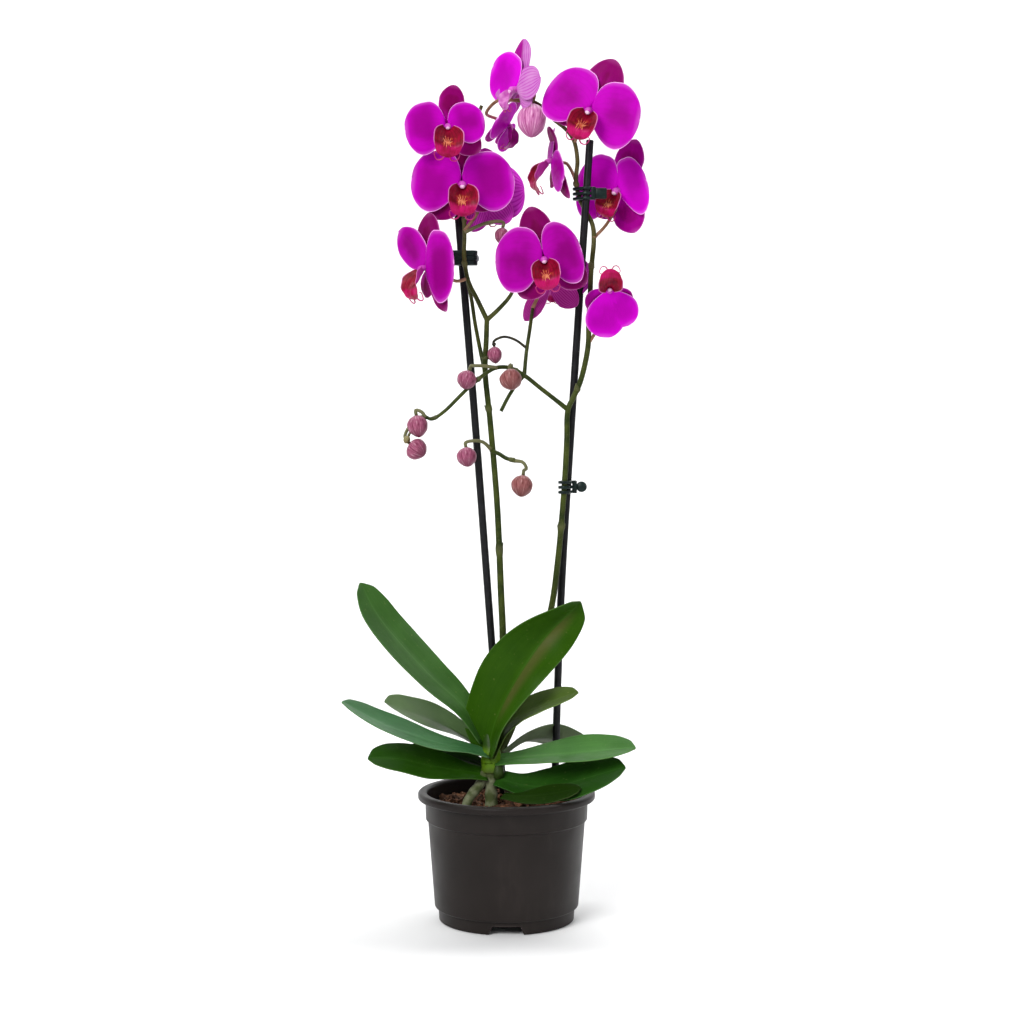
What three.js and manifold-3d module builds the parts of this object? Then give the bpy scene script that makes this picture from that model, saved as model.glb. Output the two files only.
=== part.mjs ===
// Potted moth orchid with two flower spikes on support sticks.
// Millimetres, +Z up, +X to the viewer's right, +Y away from the viewer, pot standing on z = 0.

import * as THREE from "three";
import { mergeVertices } from "three/addons/utils/BufferGeometryUtils.js";
import Module from "manifold-3d";

const wasm = await Module();
wasm.setup();
const { Manifold, Mesh: SolidMesh } = wasm;

// Clearances and thicknesses
const GAP = 0.3;
const TEPAL_THICKNESS = 0.8;
const LIP_THICKNESS = 0.8;
const LEAF_THICKNESS = 2.0;
const WELD = 1e-4;
const SLIVER = 0.18;

// The middle of the whole plant's box, seen from the pot's axis
const BOX_MIDDLE = { x: -5.7, y: 0 };

// Pot
const POT = {
  segments: 28,
  wall: 1.3,
  footRadius: 45.6,
  footHeight: 8.4,
  bodyFoot: 48.6,
  bodyTop: 53.2,
  stepHeight: 67.5,
  collarLow: 54.7,
  collarTop: 55.1,
  lipLow: 81,
  lipTop: 86,
  lipRadius: 60,
  floorLow: 7,
  floorTop: 8.4,
  corner: 3,
  cornerRise: 2.6,
  notchCount: 3,
  notchHeight: 5.4,
  notchWide: 24,
  notchNarrow: 18,
  drainCount: 6,
  drainRing: 27,
  drainRadius: 4,
};

// Growing medium
const MEDIUM = { top: 75, segments: 14, chips: 11, chipReach: 45, seed: 11 };
const GOLDEN_TURN = 2.39996;

// Support sticks: middle line from the foot in the medium to the tip
const STAKE_RADIUS = 2.6;
const STAKE_FOOT = 22;
const STAKE_LEFT = [[-2.2, 22, 79.8], [-10.4, 18, 186], [-21.1, 12, 330], [-33.6, 6, 484]];
const STAKE_RIGHT = [[33.1, 26, 79.7], [37.4, 22, 213], [45.2, 18, 345], [57, 11, 528.5]];

// Flower spikes: the points of each stem with the radius there
const SPIKE_LEFT = {
  stems: [
    [[-11, 1, 104, 2.6], [-8, 5, 122, 2.6], [-3, 11, 155, 2.5], [-2.5, 12, 187, 2.4], [-3.8, 11, 219, 2.3],
      [-6.5, 10, 280, 2.1], [-11.3, 8, 337, 2.0], [-14.6, 5, 371, 1.9], [-13.8, 3, 391, 1.8],
      [-13.3, 2, 406, 1.7]],
    [[-13.3, 2, 405, 1.7], [-19.5, -1, 418, 1.6], [-25.8, -3, 431, 1.5], [-28.6, -4, 447, 1.5],
      [-28.4, -3, 462, 1.4], [-29, 2, 478, 1.4], [-30.5, 8, 494, 1.4], [-29, 11, 515, 1.3],
      [-23, 12, 537, 1.3], [-17, 12, 552, 1.2]],
    [[-13.3, 2, 405, 1.7], [-5, 1, 412.6, 1.5], [3, -2, 422, 1.3], [7, -2, 432, 1.2]],
    [[-14.6, 5, 370, 1.6], [-18, 9, 385, 1.4], [-21.5, 9, 403, 1.3], [-24, 5, 420, 1.3],
      [-26.6, -2, 432, 1.3]],
    [[-10.4, 8.5, 316, 1.6], [-5, 3, 314, 1.4], [-0.4, -2, 311.3, 1.4], [6, -5, 309.4, 1.3]],
  ],
  rings: [[0.5, 0.69, 0.82], [0.3, 0.52, 0.78], [], [], [0.88]],
};
const SPIKE_RIGHT = {
  stems: [
    [[-7, 3, 104, 2.6], [-3, 7, 113, 2.6], [3, 12, 125, 2.5], [11.3, 16, 147, 2.4], [20.6, 17.5, 172, 2.3],
      [30.6, 14.5, 208, 2.2], [35, 13, 240, 2.1], [38.2, 11.5, 275, 2.0], [40, 11, 300, 2.0],
      [41.2, 11.4, 323, 2.0], [42, 12, 344, 1.9], [45.5, 12, 352, 1.9], [50, 11.5, 362, 1.9],
      [53.5, 10, 375, 1.9], [55.8, 9.5, 389, 1.9], [56, 9, 405, 1.8], [57, 9, 423, 1.8],
      [57.8, 9, 440, 1.7], [59.6, 9.5, 460, 1.7], [58.8, 15, 471, 1.6], [54.6, 18, 480, 1.6],
      [49.8, 17.4, 490, 1.6], [47.6, 16, 501, 1.5], [48.5, 14, 515, 1.5], [46, 12, 528, 1.4],
      [40.6, 11, 535.5, 1.3], [31, 9, 543, 1.2], [25.6, 7, 549.5, 1.1], [18, 6, 554, 1.1],
      [9.2, 8, 555, 1.0]],
    [[42, 12, 344, 1.8], [33.8, 11, 350.5, 1.6], [22.8, 7, 359, 1.5], [12.5, 2, 367, 1.5],
      [2.3, -3, 372.3, 1.4], [-6.4, -6, 372.5, 1.4], [-14, -8, 368.5, 1.3], [-26.5, -10, 358, 1.3],
      [-43, -11, 342, 1.2], [-50.5, -11, 337.8, 1.2], [-54.5, -11, 339.5, 1.1]],
  ],
  rings: [[0.23, 0.4, 0.59, 0.75, 0.93], [0.36, 0.64, 0.86]],
};

// Leaves: midrib points from base to tip, half width of the blade, fold of each half in degrees and the
// way the upper face looks. A leaf that twists has another look at its tip, and its own run of widths
const LEAVES = [
  { name: "leaf_01", half: 18, fold: 14, face: [0.5, -0.55, 0.6], color: 0x2c5410,
    spine: [[-15, 3, 119], [-30, 6, 141], [-52, 10, 161], [-73, 14, 183], [-90, 17, 204], [-101, 20, 225]] },
  { name: "leaf_02", half: 28, fold: 30, face: [-0.78, -0.57, 0.21], tipFace: [0.45, -0.75, -0.45],
    widths: [0.5, 0.9, 1, 0.84, 0.62, 0.4, 0.14], color: 0x2a5a08,
    spine: [[-12, -3, 112], [-6, -6, 135], [3, -9, 155], [14, -11, 174], [28, -12, 194], [50, -9, 215]] },
  { name: "leaf_03", half: 12.5, fold: 18, face: [-0.25, -0.45, 0.85], color: 0x35680f,
    spine: [[-9, -5, 110], [-1, -8, 127], [10, -12, 138], [23, -17, 145], [36, -21, 151], [48, -24, 156]] },
  { name: "leaf_04", half: 17, fold: 12, face: [0.1, -0.26, 0.95], color: 0x3f7a45,
    spine: [[-13, -6, 110.5], [-27, -10, 115], [-44, -16, 119.5], [-64, -22, 127], [-85, -28, 136],
      [-109, -33, 151]] },
  { name: "leaf_05", half: 17, fold: 10, face: [0.25, 0.62, 0.74], color: 0x5c6b4c,
    spine: [[-14, 5, 113], [-32, 13, 123.5], [-50, 21, 131], [-68, 28, 136.5], [-85, 33, 141.5]] },
  { name: "leaf_06", half: 17.5, fold: 12, face: [-0.05, -0.48, 0.88], color: 0x24440a,
    spine: [[-14, -5, 97], [-35, -11, 101], [-53, -18, 105.5], [-71, -25, 111], [-92, -30, 113]] },
  { name: "leaf_07", half: 15, fold: 10, face: [0, -0.3, 0.95], color: 0x1d3a09,
    spine: [[-15, 3, 101], [-34, 8, 107], [-51, 13, 110], [-68, 18, 111]] },
  { name: "leaf_08", half: 17, fold: 14, face: [-0.05, -0.36, 0.93], color: 0x4a8a50,
    spine: [[-6, -3, 106], [11, -8, 109], [36, -15, 112.5], [61, -22, 116], [86, -28, 119.5]] },
  { name: "leaf_09", half: 19, fold: 12, face: [-0.05, -0.5, 0.86], color: 0x2f5f1e,
    spine: [[-6, -7, 95], [12, -13, 91], [33, -20, 92], [56, -27, 99.5], [79, -32, 107.5]] },
  { name: "leaf_10", half: 15, fold: 10, face: [0.05, 0.62, 0.78], color: 0x5f6d55,
    spine: [[-4, 8, 108], [11, 20, 116], [26, 31, 117], [43, 41, 112], [57, 47, 106]] },
  { name: "leaf_11", half: 9.5, fold: 6, face: [0, -0.42, 0.9], color: 0x47651a,
    spine: [[-2, -22, 86.5], [10, -31, 87.2], [25, -36, 89.3], [38, -38, 92], [49, -39, 95]] },
];

// Blooms: foot of the column, the way it looks (yaw to the viewer's right, pitch up, roll clockwise),
// its size and the lip's against a full flower, and its stalk: the number of the spike and the points it
// passes. A petal or sepal unlike a full flower's has its own turn, length, width and bend of the tip
const BLOOMS = [
  { name: "01", at: [-39.6, -20, 533.2], yaw: 9, roll: 4, size: 0.8, lip: 0.98,
    petals: [[-100, 34.5, 44], [74, 30.7, 35]], dorsal: [7, 35, 22],
    laterals: [[-130, 26, 20], [120, 33, 24]], stalk: [0, [-24, 11.6, 534], [-31, 6, 536]] },
  { name: "02", at: [-30.3, -10, 495.5], yaw: 8, roll: 2, size: 1.0,
    petals: [[-85, 33, 42], [80, 35, 41]], laterals: [[-140, 28, 22], [118, 26, 20]],
    stalk: [0, [-30, 8, 495], [-30, 4, 496]] },
  { name: "03", at: [-53.5, -17, 438.6], yaw: -56, roll: -8, size: 0.88, lip: 0.95,
    petals: [[-38, 42, 30, 5], [96, 31.5, 56, -5.5]], dorsal: [2, 42, 33],
    laterals: [[-150, 22, 18], [155, 38, 18]], stalk: [0, [-26, -3, 433], [-34, -4, 431]] },
  { name: "04", at: [55.8, -12, 544.8], yaw: -10, roll: 20, size: 0.95,
    petals: [[-71, 33.5, 45], [82, 35.5, 47]], dorsal: [6, 39.5, 27],
    laterals: [[-116, 25, 17], [100, 26, 20]], stalk: [1, [46.5, 12, 527], [50, 9, 537]] },
  { name: "05", at: [25.1, -20, 444.3], yaw: -1, roll: -8, size: 0.9, lip: 0.93,
    petals: [[-83, 35, 49], [79, 27.5, 49]], dorsal: [-7, 40, 24],
    laterals: [[-142, 31.5, 26], [126, 35, 24]], stalk: [0, [7, -2, 431], [12, -6, 439]] },
  { name: "06", at: [7.6, 3, 561], yaw: -58, pitch: 6, roll: 4, size: 0.92, lip: 0.65,
    petals: [[-58, 36, 40, 4], [70, 25, 27, -4]], dorsal: [-12, 39.5, 25],
    laterals: [[-96, 24, 14, 5], [118, 17, 17, -2]], stalk: [1, [18, 6, 554], [19, 5, 559]] },
  { name: "07", at: [77.3, 27, 495], yaw: -27, roll: 18, size: 0.95, lip: 0.86,
    petals: [[-96, 33, 49], [56, 22.5, 44]], dorsal: [0, 38.5, 23],
    laterals: [[-150, 24, 20], [140, 31, 25]], stalk: [1, [59.3, 9, 461], [69, 22, 472]] },
  { name: "08", at: [69.4, -2, 425.5], yaw: 4, pitch: -24, roll: 176, size: 0.8,
    petals: [[-27, 35, 30, 2], [7, 41, 36, 3]], dorsal: [0, 37, 25, 1.5],
    laterals: [[-47, 24, 20, 1], [47, 24, 20, 1]], stalk: [1, [55.8, 9.5, 389], [61, 9, 398]] },
  { name: "09", at: [0.5, 37.6, 543], yaw: 70, pitch: -33, size: 0.68,
    petals: [[-84, 33, 44], [140, 30, 30, 4]], stalk: [1, [9.2, 8, 555], [-6, 16, 556], [-14, 26, 549]] },
  { name: "10", at: [-14.5, 11, 490.5], yaw: 172, pitch: -6, size: 0.84,
    petals: [[-81, 31, 44], [79, 31, 44]], laterals: [[-138, 30, 23], [163, 31, 20]],
    stalk: [0, [-28.5, -3, 465], [-20, 0, 477]] },
  { name: "11", at: [32, 25, 515.5], yaw: -76, roll: 2, size: 0.84,
    lip: 0.95,
    petals: [[-42, 33, 30, -7], [122, 33, 32, -2]], dorsal: [0, 27, 22, 6],
    laterals: [[-140, 25, 16, -1], [142, 38, 17, -6]], stalk: [1, [47.6, 16, 501], [44, 22, 510]] },
  { name: "12", at: [30, 22, 432.4], yaw: 160, pitch: -6, size: 0.84, lip: 0.6,
    petals: [[-76, 34, 36], [72, 30, 36]], laterals: [[-130, 32, 20], [150, 37, 16]], stalk: null },
];

// Buds: middle, length and width, the way the tip points, and the stalk as for a bloom
const BUDS = [
  { name: "bud_01", at: [-7.8, -1, 381.1], long: 12, wide: 9.8, tip: [0.1, -0.2, -1], stalk: null },
  { name: "bud_02", at: [-26.7, -12, 364.1], long: 13.5, wide: 13, tip: [-0.25, -0.35, -0.9],
    stalk: [1, [-6.4, -6, 372.3], [-16, -10, 373.6], [-23, -11.5, 373.6]] },
  { name: "bud_03", at: [3, -9.8, 364.2], long: 15, wide: 15, tip: [0.1, -0.5, -0.85],
    stalk: [1, [3.1, -3.2, 371.8], [3.2, -6, 374.4]] },
  { name: "bud_04", at: [-59.5, -12, 333], long: 15.5, wide: 14, tip: [0.15, -0.2, -0.95],
    stalk: [1, [-54.5, -11, 339], [-57, -11.5, 342.6]] },
  { name: "bud_05", at: [-60, -12, 317.4], long: 13.5, wide: 15, tip: [0.75, -0.35, -0.6],
    stalk: [1, [-54.3, -11, 339], [-60, -3, 338.5], [-65.5, -3, 333], [-68.5, -6, 326.5]] },
  { name: "bud_06", at: [-26.8, -2, 312], long: 14, wide: 13.5, tip: [0.1, -0.35, -0.9],
    stalk: [0, [-10.6, 8, 317], [-16, 3, 322], [-22, -0.5, 323]] },
  { name: "bud_07", at: [10.5, -7, 292.6], long: 15.5, wide: 14.5, tip: [-0.1, -0.35, -0.9],
    stalk: [0, [5, -4.6, 309.6], [11, -5.5, 308.6], [13.4, -6, 304.5]] },
  { name: "bud_08", at: [17.3, 2, 540.3], long: 24.6, wide: 19.6, tip: [-0.05, -0.25, -0.95],
    stalk: [1, [18, 6, 554], [18.2, 5, 556]] },
  { name: "bud_09", at: [-3.1, -3, 461.6], long: 12, wide: 9.6, tip: [-0.1, -0.2, -0.95],
    stalk: [0, [-28.5, -3, 464], [-15, -2, 470], [-6, -2.5, 471.5]] },
  { name: "bud_10", at: [-67, -12, 324], long: 6, wide: 4.6, tip: [-0.35, -0.4, -0.8], stalk: null },
];

// Clips: height, the lever's reach to the right of the stick, and how far the fingers stretch to the left
const CLIPS = [
  { name: "clip_left", spike: 0, stake: "left", height: 447, lever: 7, shift: -3 },
  { name: "clip_right_top", spike: 1, stake: "right", height: 492, lever: 10, shift: 0 },
  { name: "clip_right_low", spike: 1, stake: "right", height: 291, lever: 9, shift: 0 },
];

// Flat outlines of petals and sepals: width of the upper and lower side in parts of the widest at
// stations from base to tip
const PETAL_OUTLINE = {
  stations: [0, 0.2, 0.5, 0.8, 1], upper: [0.09, 0.88, 1, 0.79, 0.3], lower: [0.09, 0.64, 0.985, 0.87, 0.34],
};
const SEPAL_OUTLINE = {
  stations: [0, 0.28, 0.64, 1], upper: [0.13, 0.76, 1.0, 0.3], lower: [0.13, 0.76, 1.0, 0.3],
};

// Petals and sepals of a full flower: turn clockwise from the top, length and width
const FULL_FLOWER = {
  petals: [[-81, 33, 44], [79, 33, 44]],
  dorsal: [0, 37, 25],
  laterals: [[-140, 29, 23], [136, 29, 23]],
};

// How far each kind stands before the flower's middle, how its tip bends and how its edges cup
const PETAL_POSE = { layer: 1.3, bend: -0.5, cup: -1 };
const DORSAL_POSE = { layer: -1.3, bend: -2.5, cup: -0.8 };
const LATERAL_POSE = { layer: -1.3, bend: -3, cup: -0.8 };
const COLUMN = { long: 7, root: 2.2, head: 2.6, stub: 5, stubRadius: 1.4 };

// Lip of a full flower, in its own frame. Each row across it has a half width, then the height and
// depth of its edge and of its floor: three rows for the cup of the side lobes, three for the middle lobe
const LIP_ROWS = [
  [4.6, 1.0, 6.6, -2.95, 3.4],
  [9.0, -0.5, 11.8, -6.4, 6.2],
  [11.0, -6.4, 15.6, -10.6, 9.0],
  [10.2, -12.6, 16.2, -14.4, 12.4],
  [7.8, -18.8, 13.8, -18.8, 13.4],
  [2.6, -22.4, 10.6, -22.2, 11.0],
];
const TENDRIL = [[1.7, -21.4, 11.4, 0.6], [5.6, -24.2, 8.8, 0.5], [8.4, -19.4, 11.0, 0.4]];

// Both edges and the middle of a blade
const ACROSS = [-1, 0, 1];

// Small helpers
const vec = (p) => new THREE.Vector3(p[0], p[1], p[2]);
const radians = THREE.MathUtils.degToRad;

function seeded(seed) {
  let state = seed;
  return () => {
    state = (state * 1664525 + 1013904223) % 4294967296;
    return state / 4294967296;
  };
}

// Value at t of numbers that stand at the given stations
function along(stations, values, t) {
  let k = 0;
  while (k < stations.length - 2 && t > stations[k + 1]) {
    k += 1;
  }
  const part = (t - stations[k]) / (stations[k + 1] - stations[k]);
  return THREE.MathUtils.lerp(values[k], values[k + 1], THREE.MathUtils.clamp(part, 0, 1));
}

// From three.js geometry to a solid and back
function solidOf(geometry) {
  const plain = geometry.clone();
  plain.deleteAttribute("normal");
  plain.deleteAttribute("uv");
  const welded = mergeVertices(plain, WELD);
  return new Manifold(new SolidMesh({
    numProp: 3,
    vertProperties: new Float32Array(welded.attributes.position.array),
    triVerts: new Uint32Array(welded.index.array),
  }));
}

function geometryOf(solid) {
  const mesh = solid.getMesh();
  const geometry = new THREE.BufferGeometry();
  geometry.setAttribute("position", new THREE.BufferAttribute(mesh.vertProperties, 3));
  geometry.setIndex(new THREE.BufferAttribute(mesh.triVerts, 1));
  geometry.computeVertexNormals();
  return geometry;
}

// The one body that counts, without loose scraps or hollows that fusing has sealed
function largest(solid) {
  let best = null;
  for (const piece of solid.decompose()) {
    if (!best || piece.volume() > best.volume()) {
      best = piece;
    }
  }
  return best;
}

function mainBody(solid) {
  return largest(largest(solid).simplify(SLIVER));
}

function join(solids) {
  return mainBody(Manifold.union(solids));
}

// A solid with room cut out of it for others
function clearOf(others, solid) {
  return mainBody(others.reduce((rest, other) => rest.subtract(other), solid));
}

// A solid from points and triangles
function solidFrom(points, triangles) {
  const geometry = new THREE.BufferGeometry().setFromPoints(points);
  geometry.setIndex(triangles);
  return solidOf(geometry);
}

// A closed blade around a grid of middle points, split alike on both faces
function blade(grid, thickness) {
  const rows = grid.length;
  const columns = grid[0].length;
  const at = (i, j) => grid[THREE.MathUtils.clamp(i, 0, rows - 1)][THREE.MathUtils.clamp(j, 0, columns - 1)];
  const front = [];
  const back = [];
  for (let i = 0; i < rows; i += 1) {
    for (let j = 0; j < columns; j += 1) {
      const across = at(i, j + 1).clone().sub(at(i, j - 1));
      const onward = at(i + 1, j).clone().sub(at(i - 1, j));
      const normal = across.cross(onward).normalize().multiplyScalar(thickness / 2);
      front.push(at(i, j).clone().add(normal));
      back.push(at(i, j).clone().sub(normal));
    }
  }
  const count = rows * columns;
  const id = (i, j) => i * columns + j;
  const triangles = [];
  for (let i = 0; i < rows - 1; i += 1) {
    for (let j = 0; j < columns - 1; j += 1) {
      const [a, b, c, d] = [id(i, j), id(i, j + 1), id(i + 1, j + 1), id(i + 1, j)];
      triangles.push(a, b, c, a, c, d);
      triangles.push(count + a, count + c, count + b, count + a, count + d, count + c);
    }
  }
  const rim = (p, q) => triangles.push(q, p, count + p, q, count + p, count + q);
  for (let j = 0; j < columns - 1; j += 1) {
    rim(id(0, j), id(0, j + 1));
    rim(id(rows - 1, j + 1), id(rows - 1, j));
  }
  for (let i = 0; i < rows - 1; i += 1) {
    rim(id(i, columns - 1), id(i + 1, columns - 1));
    rim(id(i + 1, 0), id(i, 0));
  }
  return solidFrom([...front, ...back], triangles);
}

// A closed skin over rings of equal count, with flat or pointed ends
function skin(rings) {
  const sides = rings[0].length;
  const points = rings.flat();
  const triangles = [];
  for (let i = 0; i < rings.length - 1; i += 1) {
    for (let k = 0; k < sides; k += 1) {
      const next = (k + 1) % sides;
      const [a, b, c, d] = [i * sides + k, i * sides + next, (i + 1) * sides + next, (i + 1) * sides + k];
      triangles.push(a, b, c, a, c, d);
    }
  }
  const last = (rings.length - 1) * sides;
  for (let k = 1; k < sides - 1; k += 1) {
    triangles.push(0, k + 1, k);
    triangles.push(last, last + k, last + k + 1);
  }
  return solidFrom(points, triangles);
}

// A round stem through hand-chosen points, each with its own radius, and thicker at its nodes
const NODE_SWELL = 1.45;
const NODE_REACH = 1.8;

function stem(points, { sides = 6, steps = 1, grow = 0, nodes = [] } = {}) {
  const curve = new THREE.CatmullRomCurve3(points.map(vec), false, "centripetal");
  const length = curve.getLength();
  const count = (points.length - 1) * steps;
  const stations = points.map((_, k) => k / (points.length - 1));
  const radii = points.map((p) => p[3]);
  const marks = [];
  for (let i = 0; i <= count; i += 1) {
    if (nodes.every((node) => Math.abs(node - i / count) * length > 2 * NODE_REACH)) {
      marks.push({ t: i / count, swell: 1 });
    }
  }
  for (const node of nodes) {
    const reach = NODE_REACH / length;
    marks.push({ t: node - reach, swell: 1 }, { t: node, swell: NODE_SWELL }, { t: node + reach, swell: 1 });
  }
  marks.sort((a, b) => a.t - b.t);
  let side = null;
  const rings = marks.map(({ t, swell }) => {
    const centre = curve.getPoint(t);
    const tangent = curve.getTangent(t);
    if (!side) {
      side = new THREE.Vector3(0.31, 0.95, 0.11).cross(tangent).normalize();
    }
    side.addScaledVector(tangent, -side.dot(tangent)).normalize();
    const other = tangent.clone().cross(side);
    const radius = along(stations, radii, t) * swell + grow;
    if (t === 0 || t === 1) {
      centre.addScaledVector(tangent, t === 0 ? -grow : grow);
    }
    return Array.from({ length: sides }, (_, k) => {
      const turn = (2 * Math.PI * k) / sides;
      return centre.clone().addScaledVector(side, radius * Math.cos(turn))
        .addScaledVector(other, radius * Math.sin(turn));
    });
  });
  return skin(rings);
}

// Pot with rolled lip, collar, step, foot ring, notches and drain holes
function buildPot() {
  const p = POT;
  const profile = [
    [0, p.floorLow], [p.footRadius - p.wall, p.floorLow], [p.footRadius - p.wall, 0], [p.footRadius, 0],
    [p.footRadius + 0.5, p.footHeight], [p.bodyFoot, p.footHeight + 0.4], [p.bodyTop, p.stepHeight - 0.6],
    [p.collarLow, p.stepHeight], [p.collarTop, p.lipLow], [p.lipRadius - 0.7, p.lipLow],
    [p.lipRadius, p.lipLow + 0.9], [p.lipRadius, p.lipTop - 1.2], [p.lipRadius - 1.2, p.lipTop],
    [p.collarTop - 0.4, p.lipTop], [p.collarTop - p.wall, p.lipTop - 1.6],
    [p.collarLow - p.wall, p.stepHeight + 1], [p.bodyTop - p.wall, p.stepHeight - 1],
    [p.bodyFoot - p.wall, p.floorTop + p.cornerRise], [p.bodyFoot - p.wall - p.corner, p.floorTop],
    [0, p.floorTop],
  ].map(([r, z]) => new THREE.Vector2(r, z));
  let pot = solidOf(new THREE.LatheGeometry(profile, p.segments).rotateX(Math.PI / 2));
  for (let k = 0; k < p.notchCount; k += 1) {
    const outline = new THREE.Shape([
      new THREE.Vector2(-p.notchWide / 2, -1), new THREE.Vector2(p.notchWide / 2, -1),
      new THREE.Vector2(p.notchNarrow / 2, p.notchHeight),
      new THREE.Vector2(-p.notchNarrow / 2, p.notchHeight),
    ]);
    const cut = new THREE.ExtrudeGeometry(outline, { depth: 20, bevelEnabled: false });
    cut.rotateX(Math.PI / 2).translate(0, -p.footRadius + 10, 0).rotateZ((2 * Math.PI * k) / p.notchCount);
    pot = pot.subtract(solidOf(cut));
  }
  for (let k = 0; k < p.drainCount; k += 1) {
    const hole = new THREE.CylinderGeometry(p.drainRadius, p.drainRadius, 6, 8);
    hole.rotateX(Math.PI / 2).translate(p.drainRing, 0, p.floorLow);
    hole.rotateZ((Math.PI * (2 * k + 1)) / p.drainCount);
    pot = pot.subtract(solidOf(hole));
  }
  return mainBody(pot);
}

// Bark and coco chips over a filling that fits the pot
function buildMedium(standing) {
  const p = POT;
  const low = p.floorTop + GAP;
  const profile = [
    [0, low], [p.bodyFoot - p.wall - p.corner - GAP, low],
    [p.bodyFoot - p.wall - GAP - 0.1, low + p.cornerRise],
    [p.bodyTop - p.wall - GAP - 0.1, p.stepHeight - 1.5],
    [p.collarLow - p.wall - GAP - 0.3, p.stepHeight + 1],
    [p.collarLow - p.wall - GAP, MEDIUM.top - 1.5], [34, MEDIUM.top + 0.6], [0, MEDIUM.top + 1.5],
  ].map(([r, z]) => new THREE.Vector2(r, z));
  const random = seeded(MEDIUM.seed);
  const pieces = [solidOf(new THREE.LatheGeometry(profile, MEDIUM.segments).rotateX(Math.PI / 2))];
  for (let k = 0; k < MEDIUM.chips; k += 1) {
    const reach = MEDIUM.chipReach * Math.sqrt((k + 0.5) / MEDIUM.chips);
    const turn = k * GOLDEN_TURN + random() * 0.4;
    const chip = new THREE.BoxGeometry(7 + 8 * random(), 5 + 4 * random(), 4 + 2 * random());
    chip.rotateX((random() - 0.5) * 1.0).rotateY((random() - 0.5) * 1.0).rotateZ(random() * Math.PI);
    chip.translate(reach * Math.cos(turn), reach * Math.sin(turn), MEDIUM.top + 0.6 * random());
    pieces.push(solidOf(chip));
  }
  return clearOf(standing, Manifold.union(pieces));
}

// Support sticks
function stakePath(points) {
  const foot = vec(points[0]).sub(vec(points[1])).normalize().multiplyScalar(STAKE_FOOT).add(vec(points[0]));
  return [[...foot.toArray(), STAKE_RADIUS], ...points.map((p) => [...p, STAKE_RADIUS])];
}

function buildStake(points, grow = 0) {
  return stem(stakePath(points), { sides: 8, grow });
}

// Crown: the short stem between the leaves, with the dry sheath at its foot
function buildCrown(grow = 0) {
  return join([
    stem([[-10.5, -3, 97, 5.6], [-10.6, -2.4, 104, 6.6], [-10.4, -1.4, 112, 6.4], [-11.4, -0.4, 120, 4.6],
      [-12.4, 0, 126, 2.2]], { sides: 8, grow }),
    stem([[-7, -7, 95.5, 2.6], [-5.5, -7.4, 99, 4.2], [-5.6, -6.4, 104, 3.4]], { sides: 6, grow }),
  ]);
}

const ROOTS = {
  root_main: [[-10.5, -4, 101, 4.6], [-10.6, -5.5, 92, 4.3], [-10.2, -8, 80, 4.2], [-10, -10, 60, 4]],
  root_left: [[-14, -4.5, 99, 3.2], [-18.5, -9, 91, 3.4], [-25, -15, 83.5, 3.2], [-31, -20, 68, 3]],
  root_right: [[-6.5, -1.5, 98.5, 2.6], [-2, 2, 91, 2.6], [2, 5, 82, 2.4], [4, 6, 68, 2.4]],
};

function buildRoot(points, grow = 0) {
  return stem(points, { sides: 7, steps: 2, grow });
}

// Leaf: two halves that rise from the midrib, narrowed to both ends, with closer rows near the tip
const LEAF_STATIONS = [0, 0.12, 0.35, 0.6, 0.82, 0.95, 1];
const LEAF_WIDTHS = [0.42, 0.5, 0.84, 1.0, 0.86, 0.5, 0.16];
const LEAF_ROWS = 7;
const LEAF_CROWDING = 1.15;

function leafGrid({ spine, half, fold, face, tipFace = face, widths = LEAF_WIDTHS }, grow) {
  const curve = new THREE.CatmullRomCurve3(spine.map(vec), false, "centripetal");
  const grid = [];
  for (let i = 0; i <= LEAF_ROWS; i += 1) {
    const t = 1 - (1 - i / LEAF_ROWS) ** LEAF_CROWDING;
    const centre = curve.getPointAt(t);
    const tangent = curve.getTangentAt(t);
    if (i === 0 || i === LEAF_ROWS) {
      centre.addScaledVector(tangent, i === 0 ? -grow : grow);
    }
    const up = vec(face).lerp(vec(tipFace), t * t);
    up.addScaledVector(tangent, -up.dot(tangent)).normalize();
    const across = tangent.clone().cross(up);
    const width = half * along(LEAF_STATIONS, widths, t) + grow;
    grid.push(ACROSS.map((v) => centre.clone()
      .addScaledVector(across, v * width * Math.cos(radians(fold)))
      .addScaledVector(up, Math.abs(v) * width * Math.sin(radians(fold)))));
  }
  return grid;
}

function buildLeaf(leaf, grow = 0) {
  return blade(leafGrid(leaf, grow), LEAF_THICKNESS + 2 * grow);
}

// Flower frame: x to its right as seen from the front, y to its top sepal, z towards whoever looks at it
function flowerFrame({ at, yaw = 0, pitch = 0, roll = 0 }) {
  const [turn, tilt] = [radians(yaw), radians(pitch)];
  const face = new THREE.Vector3(
    Math.sin(turn) * Math.cos(tilt), -Math.cos(turn) * Math.cos(tilt), Math.sin(tilt));
  const up = new THREE.Vector3(0, 0, 1);
  up.addScaledVector(face, -up.dot(face)).normalize();
  up.applyAxisAngle(face, -radians(roll));
  const right = up.clone().cross(face);
  return new THREE.Matrix4().makeBasis(right, up, face).setPosition(vec(at));
}

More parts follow.
